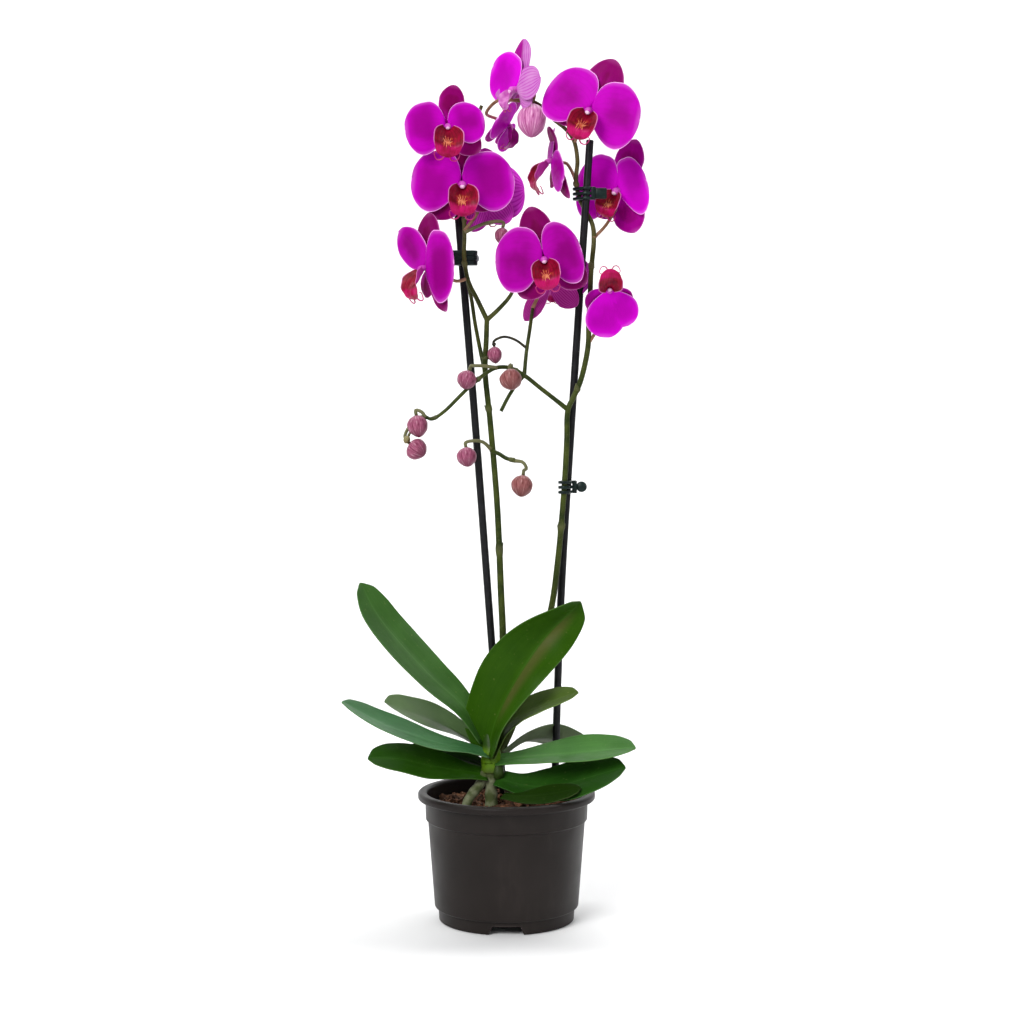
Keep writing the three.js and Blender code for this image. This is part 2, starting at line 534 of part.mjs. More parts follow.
// One petal or sepal; its upper side is the one nearer to the dorsal sepal
function tepal([turn, long, wide, ownBend], { layer, bend, cup }, outline, frame, size, grow) {
  const out = new THREE.Vector3(Math.sin(radians(turn)), Math.cos(radians(turn)), 0);
  const side = new THREE.Vector3(Math.cos(radians(turn)), -Math.sin(radians(turn)), 0);
  const tip = ownBend ?? bend;
  const grid = outline.stations.map((u, i) => {
    const stretch = u === 1 ? grow : 0;
    return ACROSS.map((v) => {
      const widths = v * turn > 0 ? outline.lower : outline.upper;
      const half = (wide * size * widths[i]) / 2 + grow;
      const lift = layer + size * (tip * u * u + cup * v * v * Math.sin(Math.PI * Math.min(u, 0.8)));
      const point = new THREE.Vector3(0, 0, lift);
      point.addScaledVector(out, 1 + u * long * size + stretch).addScaledVector(side, v * half);
      return point.applyMatrix4(frame);
    });
  });
  return blade(grid, TEPAL_THICKNESS + 2 * grow);
}

function localStem(points, frame, options) {
  const placed = points.map(([x, y, z, r]) => [...vec([x, y, z]).applyMatrix4(frame).toArray(), r]);
  return stem(placed, options);
}

function buildBloom(bloom, grow = 0) {
  const frame = flowerFrame(bloom);
  const size = bloom.size;
  const { petals, dorsal, laterals } = { ...FULL_FLOWER, ...bloom };
  const pieces = [
    tepal(dorsal, DORSAL_POSE, SEPAL_OUTLINE, frame, size, grow),
    ...laterals.map((form) => tepal(form, LATERAL_POSE, SEPAL_OUTLINE, frame, size, grow)),
    ...petals.map((form) => tepal(form, PETAL_POSE, PETAL_OUTLINE, frame, size, grow)),
  ];
  pieces.push(localStem([
    [0, -0.6, -1 - COLUMN.stub, COLUMN.stubRadius], [0, 0, -2.6, COLUMN.stubRadius + 0.4],
    [0, 0.3, 2 * size, COLUMN.root * size], [0, -0.8, (COLUMN.long - 1.6) * size, COLUMN.head * size],
    [0, -1.8, COLUMN.long * size, (COLUMN.head / 2) * size],
  ], frame, { sides: 5, grow }));
  return join(pieces);
}

// Lip: one sheet of side lobes, neck and middle lobe, with two tendrils
function buildLip(bloom, grow = 0) {
  const frame = flowerFrame(bloom);
  const size = bloom.lip ?? bloom.size;
  const onFlower = (x, y, z) => new THREE.Vector3(x, y, z).multiplyScalar(size).applyMatrix4(frame);
  const sized = (points) => points.map(([x, y, z, r]) => [...onFlower(x, y, z).toArray(), r]);
  const sheet = LIP_ROWS.map(([half, edgeY, edgeZ, floorY, floorZ]) => [-1, -0.45, 0.45, 1].map((v) => {
    const rise = Math.abs(v) ** 1.7;
    const [y, z] = [THREE.MathUtils.lerp(floorY, edgeY, rise), THREE.MathUtils.lerp(floorZ, edgeZ, rise)];
    return onFlower(v * half, y, z);
  }));
  sheet[0].forEach((point, k) => {
    point.addScaledVector(point.clone().sub(sheet[1][k]).normalize(), grow);
  });
  const pieces = [blade(sheet, LIP_THICKNESS + 2 * grow)];
  for (const way of [-1, 1]) {
    pieces.push(stem(sized(TENDRIL.map(([x, y, z, r]) => [way * x, y, z, r])), { sides: 3, grow }));
  }
  return join(pieces);
}

// The end of a bloom's own stalk, where the spike's stalk meets it
function stubEnd(bloom) {
  const frame = flowerFrame(bloom);
  const end = new THREE.Vector3(0, -0.6, -1 - COLUMN.stub).applyMatrix4(frame);
  const start = new THREE.Vector3(0, 0, -1).applyMatrix4(frame);
  return { end, away: end.clone().sub(start).normalize() };
}

function budEnd(bud) {
  const away = vec(bud.tip).normalize().negate();
  return { end: vec(bud.at).addScaledVector(away, bud.long / 2), away };
}

// A flower or bud stalk that leaves the spike and ends a gap away from what it carries
function stalk(points, { end, away }, radius, grow) {
  const near = end.clone().addScaledVector(away, GAP);
  const before = end.clone().addScaledVector(away, GAP + 3);
  const path = [...points, before.toArray(), near.toArray()].map((p) => [...p, radius]);
  return stem(path, { sides: 4, grow });
}

// Bud: an egg with three shallow furrows
const BUD_SIDES = 6;

function buildBud(bud, grow = 0) {
  const { end, away } = budEnd(bud);
  const tip = away.clone().negate();
  const side = new THREE.Vector3(0.9, 0.3, 0.2).cross(tip).normalize();
  const other = tip.clone().cross(side);
  const shape = [[0, 0.2], [0.12, 0.66], [0.4, 1.0], [0.66, 0.9], [0.9, 0.42], [1, 0.1]];
  const rings = shape.map(([u, w]) => {
    const centre = end.clone().addScaledVector(tip, u * bud.long + (u - 0.5) * 2 * grow);
    const ring = [];
    for (let k = 0; k < BUD_SIDES; k += 1) {
      const turn = (2 * Math.PI * k) / BUD_SIDES;
      const radius = ((bud.wide / 2) * w + grow) * (1 - 0.05 * Math.cos(3 * turn));
      ring.push(centre.clone().addScaledVector(side, radius * Math.cos(turn))
        .addScaledVector(other, radius * Math.sin(turn)));
    }
    return ring;
  });
  return skin(rings);
}

// Extra twigs of each spike that carry one bloom or bud of their own
const STALK_RADIUS = 1.15;
const BUD_STALK_RADIUS = 1.2;
const TWIG_RADIUS = 0.9;
const CROSSING_TWIG = [[12, 3, 367, 1.4], [13.5, 6, 383, 1.3], [16, 12, 400, 1.3], [18, 20, 414, 1.2]];
const CROSSING_LOW = [[12, 2, 367.5, 1.4], [5.5, 0.4, 359.5, 1.3], [0.8, 0, 352, 1.3], [-3.8, 0, 343, 1.3]];
const BUD_ONE_TWIG = [[13.8, 7, 386], [6, 4, 391.5], [-1, 1, 393.5], [-5.5, 0, 392.5]];
const BUD_TEN_TWIG = [[-66.4, -3.9, 331.1], [-65.6, -7, 331]];

function buildSpike(spike, index, grow = 0) {
  const pieces = spike.stems.map((points, k) => stem(points, { sides: 5, grow, nodes: spike.rings[k] }));
  for (const bloom of BLOOMS) {
    if (bloom.stalk && bloom.stalk[0] === index) {
      pieces.push(stalk(bloom.stalk.slice(1), stubEnd(bloom), STALK_RADIUS, grow));
    }
  }
  for (const bud of BUDS) {
    if (bud.stalk && bud.stalk[0] === index) {
      pieces.push(stalk(bud.stalk.slice(1), budEnd(bud), BUD_STALK_RADIUS, grow));
    }
  }
  if (index === 1) {
    const [budOne, budTen] = [BUDS[0], BUDS[9]];
    pieces.push(stem(CROSSING_TWIG, { sides: 4, grow }));
    pieces.push(stem(CROSSING_LOW, { sides: 4, grow }));
    pieces.push(stalk([CROSSING_TWIG[3].slice(0, 3)], stubEnd(BLOOMS[11]), STALK_RADIUS, grow));
    pieces.push(stalk(BUD_ONE_TWIG, budEnd(budOne), TWIG_RADIUS, grow));
    pieces.push(stalk(BUD_TEN_TWIG, budEnd(budTen), TWIG_RADIUS, grow));
  }
  return join(pieces);
}

// Claw clip: three closed fingers round stick and spike, a bridge and a lever
function pointAtHeight(points, height) {
  const path = points.map(vec);
  for (let k = 0; k < path.length - 1; k += 1) {
    const [low, high] = [path[k], path[k + 1]];
    if (low.z <= height && height <= high.z) {
      return low.clone().lerp(high, (height - low.z) / (high.z - low.z));
    }
  }
  throw new Error(`no point at height ${height}`);
}

const FINGER = { tall: 2.0, pitch: 3.4, wall: 1.5, points: 6 };

function buildClip(clip, stake, spikePoints, standing) {
  const onStake = pointAtHeight(stake, clip.height);
  const onSpike = pointAtHeight(spikePoints, clip.height);
  const middle = onStake.clone().add(onSpike).multiplyScalar(0.5);
  const apart = onSpike.clone().sub(onStake);
  const reach = Math.hypot(apart.x, apart.y) / 2;
  const lean = Math.atan2(apart.y, apart.x);
  const outline = new THREE.Shape();
  for (let k = 0; k < FINGER.points; k += 1) {
    const turn = (2 * Math.PI * (k + 0.5)) / FINGER.points;
    const round = STAKE_RADIUS + GAP + FINGER.wall;
    const way = Math.sign(Math.cos(turn));
    const x = round * Math.cos(turn) + way * reach + (way < 0 ? clip.shift : 0);
    const y = round * Math.sin(turn);
    if (k === 0) {
      outline.moveTo(x, y);
    } else {
      outline.lineTo(x, y);
    }
  }
  outline.closePath();
  const pieces = [-1, 0, 1].map((k) => {
    const finger = new THREE.ExtrudeGeometry(outline, { depth: FINGER.tall, bevelEnabled: false });
    finger.rotateZ(clip.shift ? 0 : lean);
    finger.translate(middle.x, middle.y, clip.height + k * FINGER.pitch - FINGER.tall / 2);
    return solidOf(finger);
  });
  const side = onStake.x + STAKE_RADIUS + GAP;
  const bridge = new THREE.BoxGeometry(3.2, 5.4, 2 * FINGER.pitch + FINGER.tall);
  bridge.translate(side + 1.8, onStake.y, clip.height);
  const lever = new THREE.BoxGeometry(clip.lever - 2, 4, 7.4);
  lever.translate(side + 3 + (clip.lever - 2) / 2, onStake.y, clip.height);
  pieces.push(solidOf(bridge), solidOf(lever));
  return clearOf(standing, Manifold.union(pieces));
}

// Assembly
const potted = new THREE.Group();
potted.position.set(-BOX_MIDDLE.x, -BOX_MIDDLE.y, 0);

function place(name, solid, color, roughness, metalness = 0) {
  const material = new THREE.MeshStandardMaterial({ color, roughness, metalness });
  const mesh = new THREE.Mesh(geometryOf(solid), material);
  mesh.name = name;
  potted.add(mesh);
}

const COLORS = {
  pot: 0x2b2422, medium: 0x6a4230, stake: 0x15161a, clip: 0x12221f, crown: 0x6a8a1c, root: 0x8d9078,
  spike: 0x565628, bloom: 0xa8009c, lip: 0x9a0634, bud: 0xa0607a,
};

const grownRoots = Object.values(ROOTS).map((points) => buildRoot(points, GAP));
const grownStakes = { left: buildStake(STAKE_LEFT, GAP), right: buildStake(STAKE_RIGHT, GAP) };
const grownSpikes = [buildSpike(SPIKE_LEFT, 0, GAP), buildSpike(SPIKE_RIGHT, 1, GAP)];
const grownCrown = buildCrown(GAP);

place("pot", buildPot(), COLORS.pot, 0.42);
place("growing_medium", buildMedium([...grownRoots, ...Object.values(grownStakes)]), COLORS.medium, 0.95);
place("stake_left", buildStake(STAKE_LEFT), COLORS.stake, 0.4);
place("stake_right", buildStake(STAKE_RIGHT), COLORS.stake, 0.4);
place("crown", clearOf(grownSpikes, buildCrown()), COLORS.crown, 0.6);
const beforeRoot = [grownCrown];
for (const [name, points] of Object.entries(ROOTS)) {
  place(name, clearOf(beforeRoot, buildRoot(points)), COLORS.root, 0.85);
  beforeRoot.push(buildRoot(points, GAP));
}
place("spike_left", buildSpike(SPIKE_LEFT, 0), COLORS.spike, 0.6);
place("spike_right", clearOf([grownSpikes[0]], buildSpike(SPIKE_RIGHT, 1)), COLORS.spike, 0.6);

// Each leaf keeps clear of the crown, the spikes, the sticks, the roots and the leaves before it
const around = [grownCrown, ...grownSpikes, ...Object.values(grownStakes), ...grownRoots];
for (const leaf of LEAVES) {
  place(leaf.name, clearOf(around, buildLeaf(leaf)), leaf.color, 0.35);
  around.push(buildLeaf(leaf, GAP));
}

for (const clip of CLIPS) {
  const stake = stakePath(clip.stake === "left" ? STAKE_LEFT : STAKE_RIGHT);
  const spike = [SPIKE_LEFT, SPIKE_RIGHT][clip.spike].stems[clip.spike === 0 ? 1 : 0];
  const standing = [grownStakes[clip.stake], ...grownSpikes];
  place(clip.name, buildClip(clip, stake, spike, standing), COLORS.clip, 0.45);
}

// Each bloom, lip and bud keeps clear of the spikes and the sticks, and a bloom of its own lip
const near = [...grownSpikes, ...Object.values(grownStakes)];
for (const bloom of BLOOMS) {
  const flower = clearOf([...near, buildLip(bloom, GAP)], buildBloom(bloom));
  place(`bloom_${bloom.name}`, flower, COLORS.bloom, 0.55);
  place(`lip_${bloom.name}`, clearOf(near, buildLip(bloom)), COLORS.lip, 0.5);
}
for (const bud of BUDS) {
  place(bud.name, clearOf(near, buildBud(bud)), COLORS.bud, 0.6);
}

export default potted;
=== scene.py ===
# Potted moth orchid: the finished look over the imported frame.
# Plant data is in millimetres seen from the pot's axis, and every mesh is made in metres in the frame.

import math

import bmesh
import bpy
import numpy as np
from mathutils import Matrix, Vector


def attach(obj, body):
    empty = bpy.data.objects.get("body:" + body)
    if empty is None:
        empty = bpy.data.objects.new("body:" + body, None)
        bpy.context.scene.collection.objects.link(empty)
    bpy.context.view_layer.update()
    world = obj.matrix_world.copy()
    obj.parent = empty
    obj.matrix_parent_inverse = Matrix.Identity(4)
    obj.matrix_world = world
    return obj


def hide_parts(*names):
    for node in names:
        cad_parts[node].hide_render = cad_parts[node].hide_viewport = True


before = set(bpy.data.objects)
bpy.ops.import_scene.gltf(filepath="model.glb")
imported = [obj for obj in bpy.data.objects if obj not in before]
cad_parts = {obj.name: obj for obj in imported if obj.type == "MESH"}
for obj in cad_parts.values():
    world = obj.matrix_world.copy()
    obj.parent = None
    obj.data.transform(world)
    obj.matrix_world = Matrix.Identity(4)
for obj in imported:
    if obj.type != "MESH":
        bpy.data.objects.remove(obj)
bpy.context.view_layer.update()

MM = 0.001
AXIS_SHIFT = np.array([5.7, 0.0, 0.0])

# Plant data: the same forms as in the part, with finer rows for the lips and their tendrils

STAKE_RADIUS = 2.6
STAKE_FOOT = 22
STAKES = {
    "stake_left": [[-2.2, 22, 79.8], [-10.4, 18, 186], [-21.1, 12, 330], [-33.6, 6, 484]],
    "stake_right": [[33.1, 26, 79.7], [37.4, 22, 213], [45.2, 18, 345], [57, 11, 528.5]],
}

SPIKES = [
    {
        "name": "spike_left",
        "stems": [
            [[-11, 1, 104, 2.6], [-8, 5, 122, 2.6], [-3, 11, 155, 2.5], [-2.5, 12, 187, 2.4],
             [-3.8, 11, 219, 2.3], [-6.5, 10, 280, 2.1], [-11.3, 8, 337, 2.0], [-14.6, 5, 371, 1.9],
             [-13.8, 3, 391, 1.8], [-13.3, 2, 406, 1.7]],
            [[-13.3, 2, 405, 1.7], [-19.5, -1, 418, 1.6], [-25.8, -3, 431, 1.5], [-28.6, -4, 447, 1.5],
             [-28.4, -3, 462, 1.4], [-29, 2, 478, 1.4], [-30.5, 8, 494, 1.4], [-29, 11, 515, 1.3],
             [-23, 12, 537, 1.3], [-17, 12, 552, 1.2]],
            [[-13.3, 2, 405, 1.7], [-5, 1, 412.6, 1.5], [3, -2, 422, 1.3], [7, -2, 432, 1.2]],
            [[-14.6, 5, 370, 1.6], [-18, 9, 385, 1.4], [-21.5, 9, 403, 1.3], [-24, 5, 420, 1.3],
             [-26.6, -2, 432, 1.3]],
            [[-10.4, 8.5, 316, 1.6], [-5, 3, 314, 1.4], [-0.4, -2, 311.3, 1.4], [6, -5, 309.4, 1.3]],
        ],
        "rings": [[0.5, 0.69, 0.82], [0.3, 0.52, 0.78], [], [], [0.88]],
    },
    {
        "name": "spike_right",
        "stems": [
            [[-7, 3, 104, 2.6], [-3, 7, 113, 2.6], [3, 12, 125, 2.5], [11.3, 16, 147, 2.4],
             [20.6, 17.5, 172, 2.3], [30.6, 14.5, 208, 2.2], [35, 13, 240, 2.1], [38.2, 11.5, 275, 2.0],
             [40, 11, 300, 2.0], [41.2, 11.4, 323, 2.0], [42, 12, 344, 1.9], [45.5, 12, 352, 1.9],
             [50, 11.5, 362, 1.9], [53.5, 10, 375, 1.9], [55.8, 9.5, 389, 1.9], [56, 9, 405, 1.8],
             [57, 9, 423, 1.8], [57.8, 9, 440, 1.7], [59.6, 9.5, 460, 1.7], [58.8, 15, 471, 1.6],
             [54.6, 18, 480, 1.6], [49.8, 17.4, 490, 1.6], [47.6, 16, 501, 1.5], [48.5, 14, 515, 1.5],
             [46, 12, 528, 1.4], [40.6, 11, 535.5, 1.3], [31, 9, 543, 1.2], [25.6, 7, 549.5, 1.1],
             [18, 6, 554, 1.1], [9.2, 8, 555, 1.0]],
            [[42, 12, 344, 1.8], [33.8, 11, 350.5, 1.6], [22.8, 7, 359, 1.5], [12.5, 2, 367, 1.5],
             [2.3, -3, 372.3, 1.4], [-6.4, -6, 372.5, 1.4], [-14, -8, 368.5, 1.3], [-26.5, -10, 358, 1.3],
             [-43, -11, 342, 1.2], [-50.5, -11, 337.8, 1.2], [-54.5, -11, 339.5, 1.1]],
        ],
        "rings": [[0.23, 0.4, 0.59, 0.75, 0.93], [0.36, 0.64, 0.86]],
    },
]

CROSSING_TWIG = [[12, 3, 367, 1.4], [13.5, 6, 383, 1.3], [16, 12, 400, 1.3], [18, 20, 414, 1.2]]
CROSSING_LOW = [[12, 2, 367.5, 1.4], [5.5, 0.4, 359.5, 1.3], [0.8, 0, 352, 1.3], [-3.8, 0, 343, 1.3]]
BUD_ONE_TWIG = [[13.8, 7, 386], [6, 4, 391.5], [-1, 1, 393.5], [-5.5, 0, 392.5]]
BUD_TEN_TWIG = [[-66.4, -3.9, 331.1], [-65.6, -7, 331]]

LEAVES = [
    {"name": "leaf_01", "half": 18, "fold": 14, "face": [0.5, -0.55, 0.6],
     "spine": [[-15, 3, 119], [-30, 6, 141], [-52, 10, 161], [-73, 14, 183], [-90, 17, 204],
               [-101, 20, 225]]},
    {"name": "leaf_02", "half": 28, "fold": 30, "face": [-0.78, -0.57, 0.21],
     "tip_face": [0.45, -0.75, -0.45], "widths": [0.5, 0.9, 1, 0.84, 0.62, 0.4, 0.14],
     "spine": [[-12, -3, 112], [-6, -6, 135], [3, -9, 155], [14, -11, 174], [28, -12, 194], [50, -9, 215]]},
    {"name": "leaf_03", "half": 12.5, "fold": 18, "face": [-0.25, -0.45, 0.85],
     "spine": [[-9, -5, 110], [-1, -8, 127], [10, -12, 138], [23, -17, 145], [36, -21, 151],
               [48, -24, 156]]},
    {"name": "leaf_04", "half": 17, "fold": 12, "face": [0.1, -0.26, 0.95],
     "spine": [[-13, -6, 110.5], [-27, -10, 115], [-44, -16, 119.5], [-64, -22, 127], [-85, -28, 136],
               [-109, -33, 151]]},
    {"name": "leaf_05", "half": 17, "fold": 10, "face": [0.25, 0.62, 0.74],
     "spine": [[-14, 5, 113], [-32, 13, 123.5], [-50, 21, 131], [-68, 28, 136.5], [-85, 33, 141.5]]},
    {"name": "leaf_06", "half": 17.5, "fold": 12, "face": [-0.05, -0.48, 0.88],
     "spine": [[-14, -5, 97], [-35, -11, 101], [-53, -18, 105.5], [-71, -25, 111], [-92, -30, 113]]},
    {"name": "leaf_07", "half": 15, "fold": 10, "face": [0, -0.3, 0.95],
     "spine": [[-15, 3, 101], [-34, 8, 107], [-51, 13, 110], [-68, 18, 111]]},
    {"name": "leaf_08", "half": 17, "fold": 14, "face": [-0.05, -0.36, 0.93],
     "spine": [[-6, -3, 106], [11, -8, 109], [36, -15, 112.5], [61, -22, 116], [86, -28, 119.5]]},
    {"name": "leaf_09", "half": 19, "fold": 12, "face": [-0.05, -0.5, 0.86],
     "spine": [[-6, -7, 95], [12, -13, 91], [33, -20, 92], [56, -27, 99.5], [79, -32, 107.5]]},
    {"name": "leaf_10", "half": 15, "fold": 10, "face": [0.05, 0.62, 0.78],
     "spine": [[-4, 8, 108], [11, 20, 116], [26, 31, 117], [43, 41, 112], [57, 47, 106]]},
    {"name": "leaf_11", "half": 9.5, "fold": 6, "face": [0, -0.42, 0.9],
     "spine": [[-2, -22, 86.5], [10, -31, 87.2], [25, -36, 89.3], [38, -38, 92], [49, -39, 95]]},
]

BLOOMS = [
    {"name": "01", "at": [-39.6, -20, 533.2], "yaw": 9, "roll": 4, "size": 0.8, "lip": 0.98,
     "petals": [[-100, 34.5, 44], [74, 30.7, 35]], "dorsal": [7, 35, 22],
     "laterals": [[-130, 26, 20], [120, 33, 24]], "stalk": [0, [-24, 11.6, 534], [-31, 6, 536]]},
    {"name": "02", "at": [-30.3, -10, 495.5], "yaw": 8, "roll": 2, "size": 1.0,
     "petals": [[-85, 33, 42], [80, 35, 41]], "laterals": [[-140, 28, 22], [118, 26, 20]],
     "stalk": [0, [-30, 8, 495], [-30, 4, 496]]},
    {"name": "03", "at": [-53.5, -17, 438.6], "yaw": -56, "roll": -8, "size": 0.88, "lip": 0.95,
     "petals": [[-38, 42, 30, 5], [96, 31.5, 56, -5.5]], "dorsal": [2, 42, 33],
     "laterals": [[-150, 22, 18], [155, 38, 18]], "stalk": [0, [-26, -3, 433], [-34, -4, 431]]},
    {"name": "04", "at": [55.8, -12, 544.8], "yaw": -10, "roll": 20, "size": 0.95,
     "petals": [[-71, 33.5, 45], [82, 35.5, 47]], "dorsal": [6, 39.5, 27],
     "laterals": [[-116, 25, 17], [100, 26, 20]], "stalk": [1, [46.5, 12, 527], [50, 9, 537]]},
    {"name": "05", "at": [25.1, -20, 444.3], "yaw": -1, "roll": -8, "size": 0.9, "lip": 0.93,
     "petals": [[-83, 35, 49], [79, 27.5, 49]], "dorsal": [-7, 40, 24],
     "laterals": [[-142, 31.5, 26], [126, 35, 24]], "stalk": [0, [7, -2, 431], [12, -6, 439]]},
    {"name": "06", "at": [7.6, 3, 561], "yaw": -58, "pitch": 6, "roll": 4, "size": 0.92, "lip": 0.65,
     "petals": [[-58, 36, 40, 4], [70, 25, 27, -4]], "dorsal": [-12, 39.5, 25],
     "laterals": [[-96, 24, 14, 5], [118, 17, 17, -2]], "stalk": [1, [18, 6, 554], [19, 5, 559]],
     # The blades listed as pale get a painted sheen
     "pale": ["dorsal_side", "lateral_0", "lateral_1", "petal_1"]},
    {"name": "07", "at": [77.3, 27, 495], "yaw": -27, "roll": 18, "size": 0.95, "lip": 0.86,
     "petals": [[-96, 33, 49], [56, 22.5, 44]], "dorsal": [0, 38.5, 23],
     "laterals": [[-150, 24, 20], [140, 31, 25]], "stalk": [1, [59.3, 9, 461], [69, 22, 472]]},
    {"name": "08", "at": [69.4, -2, 425.5], "yaw": 4, "pitch": -24, "roll": 176, "size": 0.8,
     "petals": [[-27, 35, 30, 2], [7, 41, 36, 3]], "dorsal": [0, 37, 25, 1.5],
     "laterals": [[-47, 24, 20, 1], [47, 24, 20, 1]], "stalk": [1, [55.8, 9.5, 389], [61, 9, 398]]},
    {"name": "09", "at": [0.5, 37.6, 543], "yaw": 70, "pitch": -33, "size": 0.68,
     "petals": [[-84, 33, 44], [140, 30, 30, 4]],
     "stalk": [1, [9.2, 8, 555], [-6, 16, 556], [-14, 26, 549]]},
    {"name": "10", "at": [-14.5, 11, 490.5], "yaw": 172, "pitch": -6, "size": 0.84,
     "petals": [[-81, 31, 44], [79, 31, 44]], "laterals": [[-138, 30, 23], [163, 31, 20]],
     "stalk": [0, [-28.5, -3, 465], [-20, 0, 477]]},
    {"name": "11", "at": [32, 25, 515.5], "yaw": -76, "roll": 2, "size": 0.84, "lip": 0.95,
     "petals": [[-42, 33, 30, -7], [122, 33, 32, -2]], "dorsal": [0, 27, 22, 6],
     "laterals": [[-140, 25, 16, -1], [142, 38, 17, -6]], "stalk": [1, [47.6, 16, 501], [44, 22, 510]]},
    {"name": "12", "at": [30, 22, 432.4], "yaw": 160, "pitch": -6, "size": 0.84, "lip": 0.6,
     "petals": [[-76, 34, 36], [72, 30, 36]], "laterals": [[-130, 32, 20], [150, 37, 16]], "stalk": None},
]

BUDS = [
    {"name": "bud_01", "at": [-7.8, -1, 381.1], "long": 12, "wide": 9.8, "tip": [0.1, -0.2, -1],
     "stalk": None},
    {"name": "bud_02", "at": [-26.7, -12, 364.1], "long": 13.5, "wide": 13, "tip": [-0.25, -0.35, -0.9],
     "stalk": [1, [-6.4, -6, 372.3], [-16, -10, 373.6], [-23, -11.5, 373.6]]},
    {"name": "bud_03", "at": [3, -9.8, 364.2], "long": 15, "wide": 15, "tip": [0.1, -0.5, -0.85],
     "stalk": [1, [3.1, -3.2, 371.8], [3.2, -6, 374.4]]},
    {"name": "bud_04", "at": [-59.5, -12, 333], "long": 15.5, "wide": 14, "tip": [0.15, -0.2, -0.95],
     "stalk": [1, [-54.5, -11, 339], [-57, -11.5, 342.6]]},
    {"name": "bud_05", "at": [-60, -12, 317.4], "long": 13.5, "wide": 15, "tip": [0.75, -0.35, -0.6],
     "stalk": [1, [-54.3, -11, 339], [-60, -3, 338.5], [-65.5, -3, 333], [-68.5, -6, 326.5]]},
    {"name": "bud_06", "at": [-26.8, -2, 312], "long": 14, "wide": 13.5, "tip": [0.1, -0.35, -0.9],
     "stalk": [0, [-10.6, 8, 317], [-16, 3, 322], [-22, -0.5, 323]]},
    {"name": "bud_07", "at": [10.5, -7, 292.6], "long": 15.5, "wide": 14.5, "tip": [-0.1, -0.35, -0.9],
     "stalk": [0, [5, -4.6, 309.6], [11, -5.5, 308.6], [13.4, -6, 304.5]]},
    {"name": "bud_08", "at": [17.3, 2, 540.3], "long": 24.6, "wide": 19.6, "tip": [-0.05, -0.25, -0.95],
     "stalk": [1, [18, 6, 554], [18.2, 5, 556]]},
    {"name": "bud_09", "at": [-3.1, -3, 461.6], "long": 12, "wide": 9.6, "tip": [-0.1, -0.2, -0.95],
     "stalk": [0, [-28.5, -3, 464], [-15, -2, 470], [-6, -2.5, 471.5]]},
    {"name": "bud_10", "at": [-67, -12, 324], "long": 6, "wide": 4.6, "tip": [-0.35, -0.4, -0.8],
     "stalk": None},
]

ROOTS = {
    "root_main": [[-10.5, -4, 101, 4.6], [-10.6, -5.5, 92, 4.3], [-10.2, -8, 80, 4.2], [-10, -10, 60, 4]],
    "root_left": [[-14, -4.5, 99, 3.2], [-18.5, -9, 91, 3.4], [-25, -15, 83.5, 3.2], [-31, -20, 68, 3]],
    "root_right": [[-6.5, -1.5, 98.5, 2.6], [-2, 2, 91, 2.6], [2, 5, 82, 2.4], [4, 6, 68, 2.4]],
}

CLIPS = [
    {"name": "clip_left", "spike": 0, "stem": 1, "stake": "stake_left", "height": 447, "lever": 7,
     "shift": -3, "tall": 1.62},
    {"name": "clip_right_top", "spike": 1, "stem": 0, "stake": "stake_right", "height": 492, "lever": 10,
     "shift": 0},
    {"name": "clip_right_low", "spike": 1, "stem": 0, "stake": "stake_right", "height": 291, "lever": 9,
     "shift": 0},
]

# Outlines of petals and sepals: half width in parts of the widest, from base to tip. A petal is fuller on
# the side nearer to the dorsal sepal
PETAL_UPPER = [[0, 0.3], [0.05, 0.55], [0.12, 0.76], [0.22, 0.92], [0.36, 1.0], [0.5, 1.0], [0.64, 0.95],
               [0.77, 0.83], [0.87, 0.66], [0.945, 0.46], [0.985, 0.27], [1, 0.02]]
PETAL_LOWER = [[0, 0.2], [0.08, 0.38], [0.18, 0.6], [0.32, 0.84], [0.46, 0.97], [0.58, 1.0], [0.72, 0.95],
               [0.84, 0.8], [0.92, 0.61], [0.965, 0.42], [0.99, 0.24], [1, 0.02]]
SEPAL_OUTLINE = [[0, 0.2], [0.1, 0.42], [0.22, 0.66], [0.36, 0.88], [0.5, 0.99], [0.62, 1.0], [0.76, 0.87],
                 [0.87, 0.65], [0.94, 0.43], [0.982, 0.22], [1, 0.02]]
FULL_FLOWER = {
    "petals": [[-81, 33, 44], [79, 33, 44]],
    "dorsal": [0, 37, 25],
    "laterals": [[-140, 29, 23], [136, 29, 23]],
}

# Layer before the flower's middle, bend of the tip and cup of the edges
PETAL_POSE = (1.3, -0.5, -1.0)
DORSAL_POSE = (-1.3, -2.5, -0.8)
LATERAL_POSE = (-1.3, -3.0, -0.8)
COLUMN = {"long": 7, "root": 2.2, "head": 2.6, "stub": 5, "stub_radius": 1.4}
LIP_ROWS = [
    [4.0, 0.3, 6.5, -2.95, 3.4],
    [7.9, -1.8, 10.9, -6.2, 6.1],
    [10.2, -6.0, 14.6, -9.9, 8.6],
    [10.4, -11.2, 16.0, -13.2, 11.6],
    [9.2, -15.6, 15.3, -16.6, 13.4],
    [7.5, -19.5, 13.4, -19.4, 13.4],
    [2.6, -22.4, 10.6, -22.2, 11.0],
]
TENDRIL = [[1.7, -21.4, 11.4, 0.6], [3.4, -23.8, 9.4, 0.52], [6.4, -24.0, 8.9, 0.45],
           [8.4, -21.4, 10.2, 0.4], [8.4, -19.2, 11.2, 0.36], [6.8, -18.6, 11.6, 0.3]]


# Numbers and curves

def unit(v):
    return v / np.linalg.norm(v)


